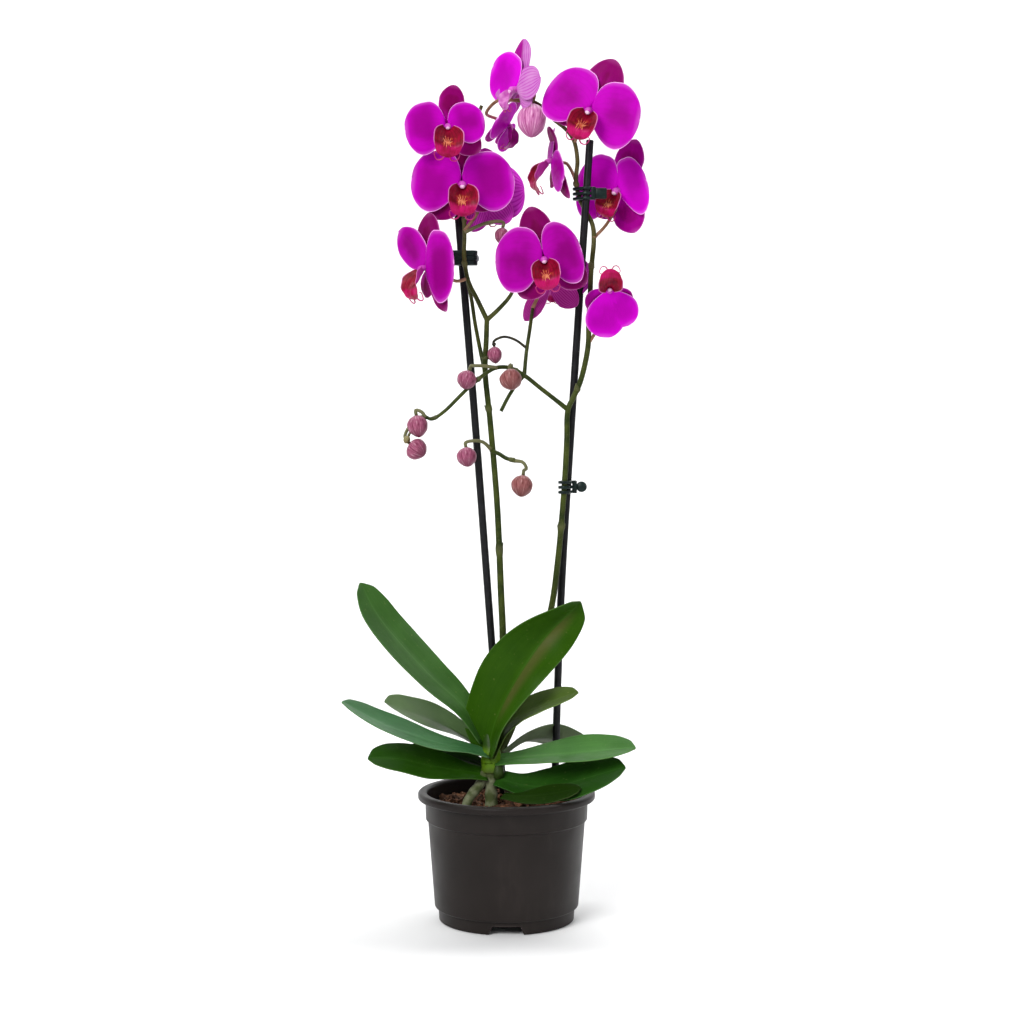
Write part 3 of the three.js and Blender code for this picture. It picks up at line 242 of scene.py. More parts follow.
def smooth(stations, values, t):
    """Monotone cubic through the stations."""
    x, y = np.asarray(stations, float), np.asarray(values, float)
    h, d = np.diff(x), np.diff(y) / np.diff(x)
    m = np.zeros(len(x))
    for k in range(1, len(x) - 1):
        if d[k - 1] * d[k] > 0:
            w1, w2 = 2 * h[k] + h[k - 1], h[k] + 2 * h[k - 1]
            m[k] = (w1 + w2) / (w1 / d[k - 1] + w2 / d[k])
    m[0], m[-1] = d[0], d[-1]
    t = np.clip(np.asarray(t, float), x[0], x[-1])
    k = np.clip(np.searchsorted(x, t, side="right") - 1, 0, len(x) - 2)
    s = (t - x[k]) / h[k]
    return ((2 * s**3 - 3 * s**2 + 1) * y[k] + (s**3 - 2 * s**2 + s) * h[k] * m[k]
            + (-2 * s**3 + 3 * s**2) * y[k + 1] + (s**3 - s**2) * h[k] * m[k + 1])


def curve_at(points, t):
    """Centripetal curve through the points, at t from 0 to 1, the same as in the part."""
    p = np.asarray(points, float)
    last = len(p) - 1
    ext = np.vstack([2 * p[0] - p[1], p, 2 * p[-1] - p[-2]])
    out = []
    for value in np.atleast_1d(t):
        k = min(int(math.floor(value * last)), last - 1)
        w = value * last - k
        a, b, c, d = ext[k], ext[k + 1], ext[k + 2], ext[k + 3]
        d0, d1, d2 = (max(np.dot(q - r, q - r), 1e-12) ** 0.25 for q, r in ((a, b), (b, c), (c, d)))
        t1 = ((b - a) / d0 - (c - a) / (d0 + d1) + (c - b) / d1) * d1
        t2 = ((c - b) / d1 - (d - b) / (d1 + d2) + (d - c) / d2) * d1
        out.append(b + t1 * w + (-3 * b + 3 * c - 2 * t1 - t2) * w**2 + (2 * b - 2 * c + t1 + t2) * w**3)
    return np.array(out)


def tangents(line):
    """Unit direction of a line at each of its points."""
    g = np.gradient(line, axis=0)
    return g / np.linalg.norm(g, axis=1)[:, None]


def run_along(line):
    """Length of the line up to each of its points."""
    return np.concatenate([[0], np.cumsum(np.linalg.norm(np.diff(line, axis=0), axis=1))])


def by_length(points, fractions):
    """Points of the curve at fractions of its length."""
    dense = curve_at(points, np.linspace(0, 1, 401))
    run = run_along(dense)
    wanted = np.asarray(fractions) * run[-1]
    return np.stack([np.interp(wanted, run, dense[:, k]) for k in range(3)], axis=1)


def round_angles(sides):
    return np.linspace(0, 2 * math.pi, sides, endpoint=False)


def blade_stations(count):
    """Stations from -1 to 1 across a blade, closer together at its edges."""
    return np.sin(np.linspace(-math.pi / 2, math.pi / 2, count))


def uv_grid(rows, cols):
    """Texture places of a grid."""
    return np.stack(np.meshgrid(rows, cols, indexing="ij"), -1)


def ring_faces(rows, sides):
    """Faces between rings of points that follow one another."""
    faces = []
    for i in range(rows - 1):
        for k in range(sides):
            n = (k + 1) % sides
            faces.append([i * sides + k, i * sides + n, (i + 1) * sides + n, (i + 1) * sides + k])
    return faces


def flat_ends(rows, sides):
    """One flat face over the first ring and one over the last."""
    return [list(range(sides))[::-1], [(rows - 1) * sides + k for k in range(sides)]]


def pointed_ends(rows, sides):
    """Fans from the first and last rings to the two points that come after all the rings."""
    first, last = rows * sides, rows * sides + 1
    faces = []
    for k in range(sides):
        n = (k + 1) % sides
        faces.append([first, n, k])
        faces.append([last, (rows - 1) * sides + k, (rows - 1) * sides + n])
    return faces


def turned_rings(profile, sides):
    """Rings of points that a profile of radius and height makes round the pot's axis."""
    turn = round_angles(sides)
    return [np.stack([r * np.cos(turn), r * np.sin(turn), np.full(sides, z)], 1) for r, z in profile]


# Meshes

def new_object(name, data):
    made = bpy.data.objects.new(name, data)
    bpy.context.scene.collection.objects.link(made)
    return made


def new_mesh(name, verts, faces):
    """A mesh in metres in the frame, from points in millimetres seen from the pot's axis."""
    mesh = bpy.data.meshes.new(name)
    mesh.from_pydata(((np.asarray(verts, float) + AXIS_SHIFT) * MM).tolist(), [], faces)
    mesh.update()
    return mesh


class Piece:
    """Collects grids and tubes of one plant piece, with texture places, a back mark and a tint."""

    def __init__(self):
        self.verts, self.faces, self.uvs, self.back, self.tint, self.mats = [], [], [], [], [], []
        self.count = 0

    def add(self, verts, faces, uv, back=0.0, tint=0.5, mat=0):
        """Adds points and faces; mat is the place in the piece's list of materials."""
        verts = np.asarray(verts, float).reshape(-1, 3)
        n = len(verts)
        self.verts.append(verts)
        self.uvs.append(np.asarray(uv, float).reshape(-1, 2))
        self.back.append(np.broadcast_to(np.asarray(back, float), (n,)))
        self.tint.append(np.broadcast_to(np.asarray(tint, float), (n,)))
        self.faces += [[self.count + i for i in f] for f in faces]
        self.mats += [mat] * len(faces)
        self.count += n

    def sheet(self, grid, thickness, uv, tint=0.5, mat=0, turned=False):
        """A blade round a grid of middle points; thickness may differ at each point."""
        rows, cols = grid.shape[:2]
        across = np.empty_like(grid)
        across[:, 1:-1] = grid[:, 2:] - grid[:, :-2]
        across[:, 0], across[:, -1] = grid[:, 1] - grid[:, 0], grid[:, -1] - grid[:, -2]
        onward = np.empty_like(grid)
        onward[1:-1] = grid[2:] - grid[:-2]
        onward[0], onward[-1] = grid[1] - grid[0], grid[-1] - grid[-2]
        normal = np.cross(across, onward)
        size = np.linalg.norm(normal, axis=2, keepdims=True)
        normal = normal / np.maximum(size, 1e-9)
        half = (np.broadcast_to(thickness, (rows, cols)) / 2)[..., None]
        front, rear = grid + normal * half, grid - normal * half
        n = rows * cols
        ids = np.arange(n).reshape(rows, cols)
        a, b, c, d = ids[:-1, :-1], ids[:-1, 1:], ids[1:, 1:], ids[1:, :-1]
        faces = np.stack([a, b, c, d], -1).reshape(-1, 4).tolist()
        faces += np.stack([a + n, d + n, c + n, b + n], -1).reshape(-1, 4).tolist()
        loop = list(ids[0, :]) + list(ids[1:, -1]) + list(ids[-1, -2::-1]) + list(ids[-2:0:-1, 0])
        for k, p in enumerate(loop):
            q = loop[(k + 1) % len(loop)]
            faces.append([int(q), int(p), int(p + n), int(q + n)])
        uv = np.asarray(uv, float).reshape(-1, 2)
        marks = np.concatenate([np.zeros(n), np.ones(n)])
        marks = 1 - marks if turned else marks
        if np.ndim(tint):
            tint = np.tile(np.broadcast_to(tint, (rows, cols)).ravel(), 2)
        self.add(np.concatenate([front.reshape(-1, 3), rear.reshape(-1, 3)]), faces,
                 np.concatenate([uv, uv]), marks, tint, mat)

    def tube(self, line, radii, sides=16, tint=0.5, mat=0, start_side=(0.31, 0.95, 0.11), round_end=False):
        """A round stem along a line of points."""
        line, radii = np.asarray(line, float), np.asarray(radii, float)
        way = tangents(line)
        side = unit(np.cross(start_side, way[0]))
        turn = round_angles(sides)
        run = run_along(line)
        verts, uv = [], []
        for k, centre in enumerate(line):
            side = unit(side - way[k] * np.dot(side, way[k]))
            other = np.cross(way[k], side)
            ring = np.outer(np.cos(turn), side) + np.outer(np.sin(turn), other)
            verts.append(centre + ring * radii[k])
            uv.append(np.stack([np.full(sides, run[k]), turn / (2 * math.pi)], 1))
        verts, uv = np.concatenate(verts), np.concatenate(uv)
        ends = np.stack([line[0] - way[0] * radii[0] * 0.05,
                         line[-1] + way[-1] * radii[-1] * (0.6 if round_end else 0.05)])
        verts = np.concatenate([verts, ends])
        uv = np.concatenate([uv, [[0, 0], [run[-1], 0]]])
        faces = ring_faces(len(line), sides) + pointed_ends(len(line), sides)
        self.add(verts, faces, uv, 0.0, tint, mat)

    def blob(self, centre, axes, radii, tint=0.5, mat=0, rows=10, sides=16):
        """An egg-shaped bump with its own axes."""
        lat = np.linspace(0, math.pi, rows)
        lon = round_angles(sides)
        x = np.outer(np.sin(lat), np.cos(lon)) * radii[0]
        y = np.outer(np.sin(lat), np.sin(lon)) * radii[1]
        z = np.outer(np.cos(lat), np.ones(sides)) * radii[2]
        axes = np.asarray(axes, float)
        verts = centre + x[..., None] * axes[0] + y[..., None] * axes[1] + z[..., None] * axes[2]
        faces = [face[::-1] for face in ring_faces(rows, sides)]
        self.add(verts, faces, uv_grid(np.linspace(0, 1, rows), np.linspace(0, 1, sides)), 0.0, tint, mat)

    def finish(self, name, node, materials):
        """Makes the object, in place of the part's node."""
        mesh = new_mesh(name, np.concatenate(self.verts), self.faces)
        for material in materials:
            mesh.materials.append(material)
        mesh.polygons.foreach_set("material_index", self.mats)
        mesh.polygons.foreach_set("use_smooth", [True] * len(self.faces))
        loops = np.empty(len(mesh.loops), int)
        mesh.loops.foreach_get("vertex_index", loops)
        layer = mesh.uv_layers.new(name="place")
        layer.data.foreach_set("uv", np.concatenate(self.uvs)[loops].ravel())
        for label, values in (("back", self.back), ("tint", self.tint)):
            mark = mesh.attributes.new(label, "FLOAT", "POINT")
            mark.data.foreach_set("value", np.concatenate(values))
        mesh.validate()
        mesh.update()
        piece = new_object(name, mesh)
        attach(piece, "root")
        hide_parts(node)
        return piece


# Materials

class Paint:
    """A node material built up from small steps."""

    def __init__(self, name):
        self.material = bpy.data.materials.new(name)
        self.material.use_nodes = True
        self.tree = self.material.node_tree
        self.shader = next(n for n in self.tree.nodes if n.type == "BSDF_PRINCIPLED")

    def put(self, socket, value):
        """Links a socket's output or sets a plain value."""
        if isinstance(value, bpy.types.NodeSocket):
            self.tree.links.new(value, socket)
        elif value is not None:
            if socket.type == "RGBA" and len(value) == 3:
                value = (*value, 1.0)
            socket.default_value = value

    def node(self, kind, **settings):
        """Adds a shader node with its settings."""
        made = self.tree.nodes.new(kind)
        for key, value in settings.items():
            setattr(made, key, value)
        return made

    def uv(self):
        """Place from base to tip and place across, both from 0 to 1."""
        split = self.node("ShaderNodeSeparateXYZ")
        self.put(split.inputs[0], self.node("ShaderNodeUVMap", uv_map="place").outputs[0])
        return split.outputs[0], split.outputs[1]

    def attribute(self, name):
        return self.node("ShaderNodeAttribute", attribute_name=name).outputs["Fac"]

    def place(self):
        return self.node("ShaderNodeTexCoord").outputs["Object"]

    def height(self):
        split = self.node("ShaderNodeSeparateXYZ")
        self.put(split.inputs[0], self.place())
        return split.outputs[2]

    def math(self, operation, a, b=None, c=None):
        made = self.node("ShaderNodeMath", operation=operation)
        for socket, value in zip(made.inputs, (a, b, c)):
            self.put(socket, value)
        return made.outputs[0]

    def times(self, a, b):
        return self.math("MULTIPLY", a, b)

    def off_middle(self, v):
        """0 on the middle line of a blade and 1 at either edge."""
        return self.math("ABSOLUTE", self.math("MULTIPLY_ADD", v, 2.0, -1.0))

    def drawn_out(self, u, v, u_scale, v_scale):
        """Texture places stretched from base to tip, for long streaks."""
        made = self.node("ShaderNodeCombineXYZ")
        self.put(made.inputs[0], self.times(u, u_scale))
        self.put(made.inputs[1], self.times(v, v_scale))
        return made.outputs[0]

    def span(self, value, low, high, out_low=0.0, out_high=1.0):
        """Soft step from one value to another."""
        made = self.node("ShaderNodeMapRange", interpolation_type="SMOOTHSTEP")
        for socket, number in zip(made.inputs, (value, low, high, out_low, out_high)):
            self.put(socket, number)
        return made.outputs[0]

    def mix(self, factor, a, b):
        made = self.node("ShaderNodeMix", data_type="RGBA")
        self.put(made.inputs[0], factor)
        self.put(made.inputs[6], a)
        self.put(made.inputs[7], b)
        return made.outputs[2]

    def noise(self, scale, detail, roughness=0.5, vector=None, stretch=None):
        made = self.node("ShaderNodeTexNoise")
        vector = vector or self.place()
        if stretch:
            scaled = self.node("ShaderNodeMapping")
            self.put(scaled.inputs[0], vector)
            self.put(scaled.inputs[3], stretch)
            vector = scaled.outputs[0]
        self.put(made.inputs["Vector"], vector)
        made.inputs["Scale"].default_value = scale
        made.inputs["Detail"].default_value = detail
        made.inputs["Roughness"].default_value = roughness
        return made.outputs["Fac"]

    def cloud(self, scale, detail, low, high, out_low=0.0, out_high=1.0):
        """Noise with more contrast."""
        return self.span(self.noise(scale, detail), low, high, out_low, out_high)

    def bump(self, height, strength, distance, after=None):
        made = self.node("ShaderNodeBump")
        self.put(made.inputs["Height"], height)
        made.inputs["Strength"].default_value = strength
        made.inputs["Distance"].default_value = distance
        if after is not None:
            self.put(made.inputs["Normal"], after)
        return made.outputs[0]

    def set(self, **inputs):
        names = {"color": "Base Color", "roughness": "Roughness", "normal": "Normal",
                 "specular": "Specular IOR Level", "transmission": "Transmission Weight"}
        for key, value in inputs.items():
            self.put(self.shader.inputs[names[key]], value)
        return self.material


def stripes(paint, v, count, wobble=1.2, sharpness=(0.55, 0.95)):
    """Lines that run from base to tip of a petal: bright at each vein."""
    bend = paint.times(paint.noise(160, 2.0), wobble)
    wave = paint.math("SINE", paint.math("ADD", paint.times(v, count * 2 * math.pi), bend))
    return paint.span(wave, *sharpness)


def tepal_paint(name, deep, bright, edge, back, back_stripe, tail):
    """Petal or sepal: a cloudy dark middle of painted shade, faint veins, a painted sheen near the thin
    pale rim, striped back and darker tip.
    """
    paint = Paint(name)
    u, v = paint.uv()
    out = paint.off_middle(v)
    # Painted shade: the middle of each blade is darker and its edges brighter, as light falls on it; the
    # sepals' darker tip (tail) is their own colour.
    ragged = paint.math("ADD", out, paint.math("MULTIPLY_ADD", paint.noise(34, 4.0), 2.4, -1.2))
    middle_shade_and_dark_tip = paint.times(paint.span(ragged, 1.0, 0.1), paint.span(u, 0.1, 0.42))
    middle_shade_and_dark_tip = paint.times(middle_shade_and_dark_tip, paint.span(u, 1.0, 0.7))
    middle_shade_and_dark_tip = paint.math("MAXIMUM", middle_shade_and_dark_tip, paint.span(u, 0.3, 0.75, 0.0, tail))
    color = paint.mix(middle_shade_and_dark_tip, bright, deep)
    color = paint.mix(paint.cloud(120, 4.0, 0.42, 0.78, 0.0, 0.3), color, deep)
    lines = paint.times(stripes(paint, v, 12), paint.span(u, 1.0, 0.5, 0.0, 0.14))
    color = paint.mix(lines, color, deep)
    # Painted sheen: a faint pale glow towards the edges and tip of each blade.
    rim_sheen = paint.math("MAXIMUM", paint.span(out, 0.84, 1.0), paint.span(u, 0.88, 1.0))
    color = paint.mix(paint.times(rim_sheen, 0.14), color, edge)
    rim = paint.math("MAXIMUM", paint.span(out, 0.966, 0.985), paint.span(u, 0.986, 0.996))
    color = paint.mix(paint.times(rim, 0.9), color, edge)
    behind = paint.mix(stripes(paint, v, 11, 1.4, (0.0, 0.9)), back, back_stripe)
    behind = paint.mix(paint.cloud(55, 3.0, 0.35, 0.8, 0.0, 0.3), behind, deep)
    color = paint.mix(paint.attribute("back"), color, behind)
    # Painted sheen: blades marked pale turn a paler pink with light veins and cloudy pale highlights.
    sheen_blush = paint.mix(stripes(paint, v, 10, 1.8, (-0.1, 0.95)), (0.50, 0.16, 0.48), (0.42, 0.04, 0.39))
    sheen_blush = paint.mix(paint.cloud(60, 3.0, 0.4, 0.8, 0.0, 0.5), sheen_blush, (0.62, 0.32, 0.57))
    color = paint.mix(paint.attribute("tint"), color, sheen_blush)
    ridge = paint.math("ADD", paint.times(stripes(paint, v, 12, 1.2, (-0.2, 1.0)), 0.3),
                       paint.times(paint.noise(900, 2.0), 0.3))
    normal = paint.bump(ridge, 0.2, 0.0003)
    return paint.set(color=color, roughness=paint.cloud(320, 2.0, 0.2, 0.8, 0.42, 0.58),
                     specular=0.035, normal=normal)


def lip_paint(name, fire):
    """Lip: dark crimson cup with darker veins and a thin pale rim, and a pink-red middle lobe."""
    paint = Paint(name)
    u, v = paint.uv()
    out = paint.off_middle(v)
    cloud = paint.cloud(150, 3.0, 0.3, 0.7)
    inner = paint.mix(cloud, (0.12, 0.0005, 0.008), (0.28, 0.001, 0.026))
    cloud = paint.cloud(140, 3.0, 0.3, 0.7)
    tongue = paint.mix(cloud, (0.26, 0.001, 0.035), (0.46, 0.004, 0.11))
    color = paint.mix(paint.span(u, 0.52, 0.66), inner, tongue)
    veins = paint.times(stripes(paint, v, 9, 1.5), paint.span(u, 0.7, 0.5, 0.12, 0.5))
    color = paint.mix(veins, color, (0.09, 0.0, 0.008))
    glow = paint.times(paint.span(u, 0.2, 0.34), paint.span(u, 0.62, 0.5))
    glow = paint.times(glow, paint.span(out, 0.7, 0.15))
    glow = paint.times(glow, paint.cloud(420, 3.0, 0.46, 0.64))
    color = paint.mix(paint.times(glow, fire), color, (0.52, 0.07, 0.02))
    rim = paint.times(paint.span(out, 0.94, 0.985), paint.span(u, 0.72, 0.5))
    color = paint.mix(paint.times(rim, 0.85), color, (0.72, 0.22, 0.48))
    rear = paint.mix(paint.span(u, 0.46, 0.62), (0.52, 0.05, 0.36), (0.40, 0.01, 0.12))
    color = paint.mix(paint.attribute("back"), color, rear)
    ridge = paint.math("ADD", stripes(paint, v, 9, 1.5, (-0.3, 1.0)), paint.noise(900, 2.0))
    normal = paint.bump(ridge, 0.25, 0.0003)
    return paint.set(color=color, roughness=0.38, specular=0.12, normal=normal)


def speckle_paint(name, low, high, roughness=0.45, scale=420, specular=0.25, bump=0.25, distance=0.0003):
    """Plain flesh with cloudy colour and a fine grain."""
    paint = Paint(name)
    color = paint.mix(paint.cloud(scale * 0.3, 4.0, 0.3, 0.72), low, high)
    normal = paint.bump(paint.noise(scale, 4.0), bump, distance)
    rough = paint.cloud(scale * 0.7, 2.0, 0.2, 0.8, roughness - 0.08, roughness + 0.1)
    return paint.set(color=color, roughness=rough, specular=specular, normal=normal)


def leaf_paint(name, dark, light, under, gloss, shine, band=0.0):
    """Leaf: streaked green, paler midrib, faint yellow flecks, grey underside, and an olive band if set."""
    paint = Paint(name)
    u, v = paint.uv()
    out = paint.off_middle(v)
    streak = paint.noise(1.6, 4.0, 0.6, paint.drawn_out(u, v, 1.6, 26.0))
    cloud = paint.cloud(34, 4.0, 0.28, 0.75)
    blend = paint.math("MULTIPLY_ADD", streak, 0.6, paint.times(cloud, 0.4))
    color = paint.mix(blend, dark, light)
    pale = tuple(min(1.0, c * 1.5 + 0.02) for c in light)
    across = paint.times(paint.span(v, 0.51, 0.54), paint.span(v, 0.80, 0.60))
    along = paint.times(paint.span(u, 0.15, 0.35), paint.span(u, 0.97, 0.8))
    side = paint.times(paint.times(across, along), band)
    color = paint.mix(side, color, (0.095, 0.085, 0.026))
    color = paint.mix(paint.times(paint.span(out, 0.035, 0.0), 0.3), color, pale)
    color = paint.mix(paint.times(paint.span(out, 0.2, 0.03), 0.15), color, light)
    fleck = paint.cloud(480, 1.0, 0.7, 0.78)
    color = paint.mix(paint.times(fleck, 0.12), color, (0.34, 0.36, 0.12))
    color = paint.mix(paint.times(paint.span(out, 0.965, 1.0), 0.5), color, pale)
    rear = paint.mix(cloud, under, tuple(c * 1.35 for c in under))
    color = paint.mix(paint.attribute("back"), color, rear)
    lines = paint.math("ADD", streak, paint.times(paint.noise(700, 2.0), 0.5))
    normal = paint.bump(lines, 0.3, 0.0004)
    rough = paint.cloud(60, 3.0, 0.2, 0.8, gloss, gloss + 0.16)
    return paint.set(color=color, roughness=rough, specular=shine, normal=normal)


def stem_paint():
    """Flower spike: olive with brown clouds and pale specks, browner towards the top."""
    paint = Paint("spike_skin")
    cloud = paint.cloud(90, 4.0, 0.32, 0.7)
    green = paint.mix(cloud, (0.016, 0.028, 0.004), (0.050, 0.066, 0.010))
    brown = paint.mix(cloud, (0.050, 0.042, 0.012), (0.110, 0.088, 0.032))
    color = paint.mix(paint.span(paint.height(), 0.34, 0.56), green, brown)
    speck = paint.times(paint.cloud(1500, 1.0, 0.62, 0.75), 0.35)
    color = paint.mix(speck, color, (0.22, 0.20, 0.10))
    color = paint.mix(paint.times(paint.attribute("tint"), 0.5), color, (0.26, 0.24, 0.13))
    normal = paint.bump(paint.noise(700, 4.0), 0.3, 0.0002)
    return paint.set(color=color, roughness=0.42, specular=0.12, normal=normal)


def bud_paint(name, low, high, stripe, dark_streak_and_shade):
    """Bud: rose skin with long pale and dark streaks, and painted shade that darkens it towards the tip."""
    paint = Paint(name)
    u, v = paint.uv()
    streak = paint.noise(1.3, 3.0, 0.55, paint.drawn_out(u, v, 2.0, 30.0))
    color = paint.mix(paint.span(streak, 0.32, 0.68), low, high)
    color = paint.mix(paint.times(paint.span(streak, 0.60, 0.67), 0.75), color, stripe)
    color = paint.mix(paint.times(paint.span(streak, 0.42, 0.34), 0.75), color, dark_streak_and_shade)
    # Painted shade: darker towards the tip, the lower end of the hanging bud that turns away from the
    # light.
    color = paint.mix(paint.span(u, 0.55, 1.0, 0.0, 0.55), color, dark_streak_and_shade)
    color = paint.mix(paint.span(u, 0.14, 0.0, 0.0, 0.7), color, (0.06, 0.035, 0.02))
    return paint.set(color=color, roughness=0.38, specular=0.2, normal=paint.bump(streak, 0.3, 0.0004))


def pot_paint():
    """Pot: dark moulded plastic with a fine grain, faint flow streaks, dust, and a painted highlight along
    its edges.
    """
    paint = Paint("pot_plastic")
    cloud = paint.cloud(14, 4.0, 0.3, 0.75)
    color = paint.mix(cloud, (0.0110, 0.0080, 0.0070), (0.0190, 0.0145, 0.0130))
    dust = paint.noise(60, 5.0, 0.65, stretch=(1.0, 1.0, 0.3))
    dust = paint.times(paint.span(dust, 0.52, 0.85), 0.2)
    color = paint.mix(dust, color, (0.060, 0.050, 0.043))
    # Painted highlight: sharp convex edges, such as the rim's lip, are made lighter where light catches
    # them.
    edge = paint.node("ShaderNodeNewGeometry").outputs["Pointiness"]
    edge_highlight = paint.times(paint.span(edge, 0.52, 0.6), 0.45)
    color = paint.mix(edge_highlight, color, (0.13, 0.115, 0.105))
    normal = paint.bump(paint.noise(1400, 3.0), 0.12, 0.0002)
    normal = paint.bump(paint.noise(24, 2.0, stretch=(1.0, 1.0, 0.25)), 0.08, 0.0012, after=normal)
    rough = paint.cloud(45, 4.0, 0.25, 0.8, 0.38, 0.5)
    return paint.set(color=color, roughness=rough, specular=0.16, normal=normal)


def bark_paint():
    """Chips: each its own brown, with fibres and pale broken spots."""
    paint = Paint("bark_chips")
    tint = paint.attribute("tint")
    fibre = paint.noise(420, 4.0, 0.6, stretch=(1.0, 0.25, 1.0))
    dark = paint.mix(tint, (0.022, 0.010, 0.006), (0.12, 0.046, 0.022))
    light = paint.mix(tint, (0.075, 0.036, 0.022), (0.31, 0.150, 0.082))
    color = paint.mix(paint.span(fibre, 0.3, 0.7), dark, light)
    broken = paint.times(paint.cloud(900, 2.0, 0.64, 0.72), 0.6)
    color = paint.mix(broken, color, (0.46, 0.33, 0.24))
    normal = paint.bump(paint.math("ADD", fibre, paint.noise(1600, 3.0)), 0.6, 0.0006)
    return paint.set(color=color, roughness=0.88, specular=0.1, normal=normal)


def plastic_paint(name, low, high, roughness, transmission=0.0):
    paint = Paint(name)
    color = paint.mix(paint.cloud(220, 4.0, 0.3, 0.7), low, high)
    grain = paint.noise(900, 3.0, stretch=(1.0, 1.0, 0.08))
    rough = paint.cloud(160, 3.0, 0.25, 0.75, roughness - 0.06, roughness + 0.08)
    return paint.set(color=color, roughness=rough, specular=0.2, transmission=transmission,
                     normal=paint.bump(grain, 0.25, 0.0002))


def root_paint():
    """Aerial root: silver-grey velvet skin with green patches."""
    paint = Paint("root_velvet")
    cloud = paint.cloud(150, 4.0, 0.34, 0.66)
    color = paint.mix(cloud, (0.060, 0.078, 0.026), (0.18, 0.195, 0.115))
    color = paint.mix(paint.cloud(600, 3.0, 0.62, 0.8, 0.0, 0.6), color, (0.05, 0.038, 0.022))
    normal = paint.bump(paint.noise(500, 4.0), 0.5, 0.0005)
    return paint.set(color=color, roughness=0.75, specular=0.12, normal=normal)


def crown_paint():
    """Crown: bright yellow-green, brown at the foot and dark green above and on its old sheaths."""
    paint = Paint("crown_skin")
    cloud = paint.span(paint.noise(120, 3.0, stretch=(1.0, 1.0, 0.3)), 0.3, 0.7)
    color = paint.mix(cloud, (0.085, 0.200, 0.002), (0.200, 0.400, 0.008))
    color = paint.mix(paint.span(paint.height(), 0.105, 0.097), color, (0.055, 0.040, 0.018))
    color = paint.mix(paint.span(paint.height(), 0.112, 0.118), color, (0.016, 0.060, 0.003))
    color = paint.mix(paint.attribute("tint"), color, (0.026, 0.050, 0.008))
    normal = paint.bump(paint.noise(500, 3.0), 0.3, 0.0003)
    return paint.set(color=color, roughness=0.45, specular=0.15, normal=normal)


# Paint of petals and sepals: deep, full and vivid blooms. Besides each bloom's own tone, the deep paint is
# partly painted shade for blooms that light falls on strongly, and the vivid paint is partly painted light,
# its bright back standing in for light shining through the petals
TEPAL_SKINS = [
    [tepal_paint("petal_deep", (0.230, 0.0, 0.165), (0.39, 0.0005, 0.34), (0.84, 0.34, 0.76),
                 (0.50, 0.050, 0.44), (0.34, 0.010, 0.28), 0.0),
     tepal_paint("sepal_deep", (0.140, 0.0, 0.055), (0.34, 0.0005, 0.24), (0.70, 0.20, 0.55),
                 (0.40, 0.03, 0.28), (0.26, 0.008, 0.16), 0.85)],
    [tepal_paint("petal_full", (0.300, 0.0, 0.235), (0.48, 0.0005, 0.44), (0.88, 0.38, 0.82),
                 (0.60, 0.060, 0.55), (0.42, 0.014, 0.37), 0.0),
     tepal_paint("sepal_full", (0.180, 0.0, 0.075), (0.44, 0.0005, 0.32), (0.74, 0.22, 0.60),
                 (0.46, 0.04, 0.32), (0.30, 0.010, 0.19), 0.85)],
    [tepal_paint("petal_vivid", (0.42, 0.0, 0.38), (0.60, 0.0005, 0.58), (0.90, 0.42, 0.86),
                 (0.84, 0.070, 0.80), (0.64, 0.022, 0.60), 0.0),
     tepal_paint("sepal_vivid", (0.26, 0.0, 0.17), (0.52, 0.0005, 0.46), (0.78, 0.26, 0.68),
                 (0.70, 0.06, 0.62), (0.50, 0.016, 0.42), 0.8)],
]
LIP_SKINS = {
    "flame": lip_paint("lip_flame", 0.6),
    "plain": lip_paint("lip_plain", 0.0),
    "pink": speckle_paint("lip_pink", (0.42, 0.06, 0.34), (0.70, 0.30, 0.60), 0.42, 500, 0.1),
    "magenta": speckle_paint("lip_magenta", (0.14, 0.0005, 0.075), (0.36, 0.006, 0.25), 0.42, 500, 0.1),
}
CALLUS_SKIN = speckle_paint("callus_skin", (0.50, 0.075, 0.035), (0.74, 0.26, 0.13), 0.4, 1400)
COLUMN_SKIN = speckle_paint("column_skin", (0.46, 0.02, 0.38), (0.66, 0.14, 0.56), 0.42, 500)
CAP_SKIN = speckle_paint("cap_skin", (0.74, 0.36, 0.64), (0.88, 0.68, 0.82), 0.4, 700)
PEDICEL_SKIN = speckle_paint("pedicel_skin", (0.16, 0.080, 0.040), (0.34, 0.19, 0.12), 0.45, 500, 0.12)
TENDRIL_SKIN = speckle_paint("tendril_skin", (0.36, 0.005, 0.09), (0.52, 0.03, 0.20), 0.4, 600)
SPIKE_SKIN = stem_paint()
DRY_SKIN = speckle_paint("dry_skin", (0.010, 0.009, 0.006), (0.050, 0.046, 0.028), 0.5, 700, 0.1)
ROSE = bud_paint("bud_rose", (0.20, 0.036, 0.080), (0.36, 0.105, 0.185), (0.62, 0.42, 0.48),
                 (0.075, 0.010, 0.024))
BROWNISH = bud_paint("bud_brownish", (0.18, 0.050, 0.048), (0.31, 0.115, 0.115), (0.55, 0.36, 0.34),
                     (0.07, 0.015, 0.014))
# Bud 08's light colours and pale stripes are partly a painted highlight.
BIG = bud_paint("bud_big", (0.40, 0.075, 0.26), (0.66, 0.28, 0.50), (0.86, 0.64, 0.82), (0.26, 0.03, 0.13))
GREENISH = bud_paint("bud_greenish", (0.16, 0.13, 0.05), (0.32, 0.28, 0.13), (0.50, 0.46, 0.28),
                     (0.10, 0.06, 0.03))
BUD_LOOKS = {"bud_03": BROWNISH, "bud_07": BROWNISH, "bud_08": BIG, "bud_10": GREENISH}


# Leaves

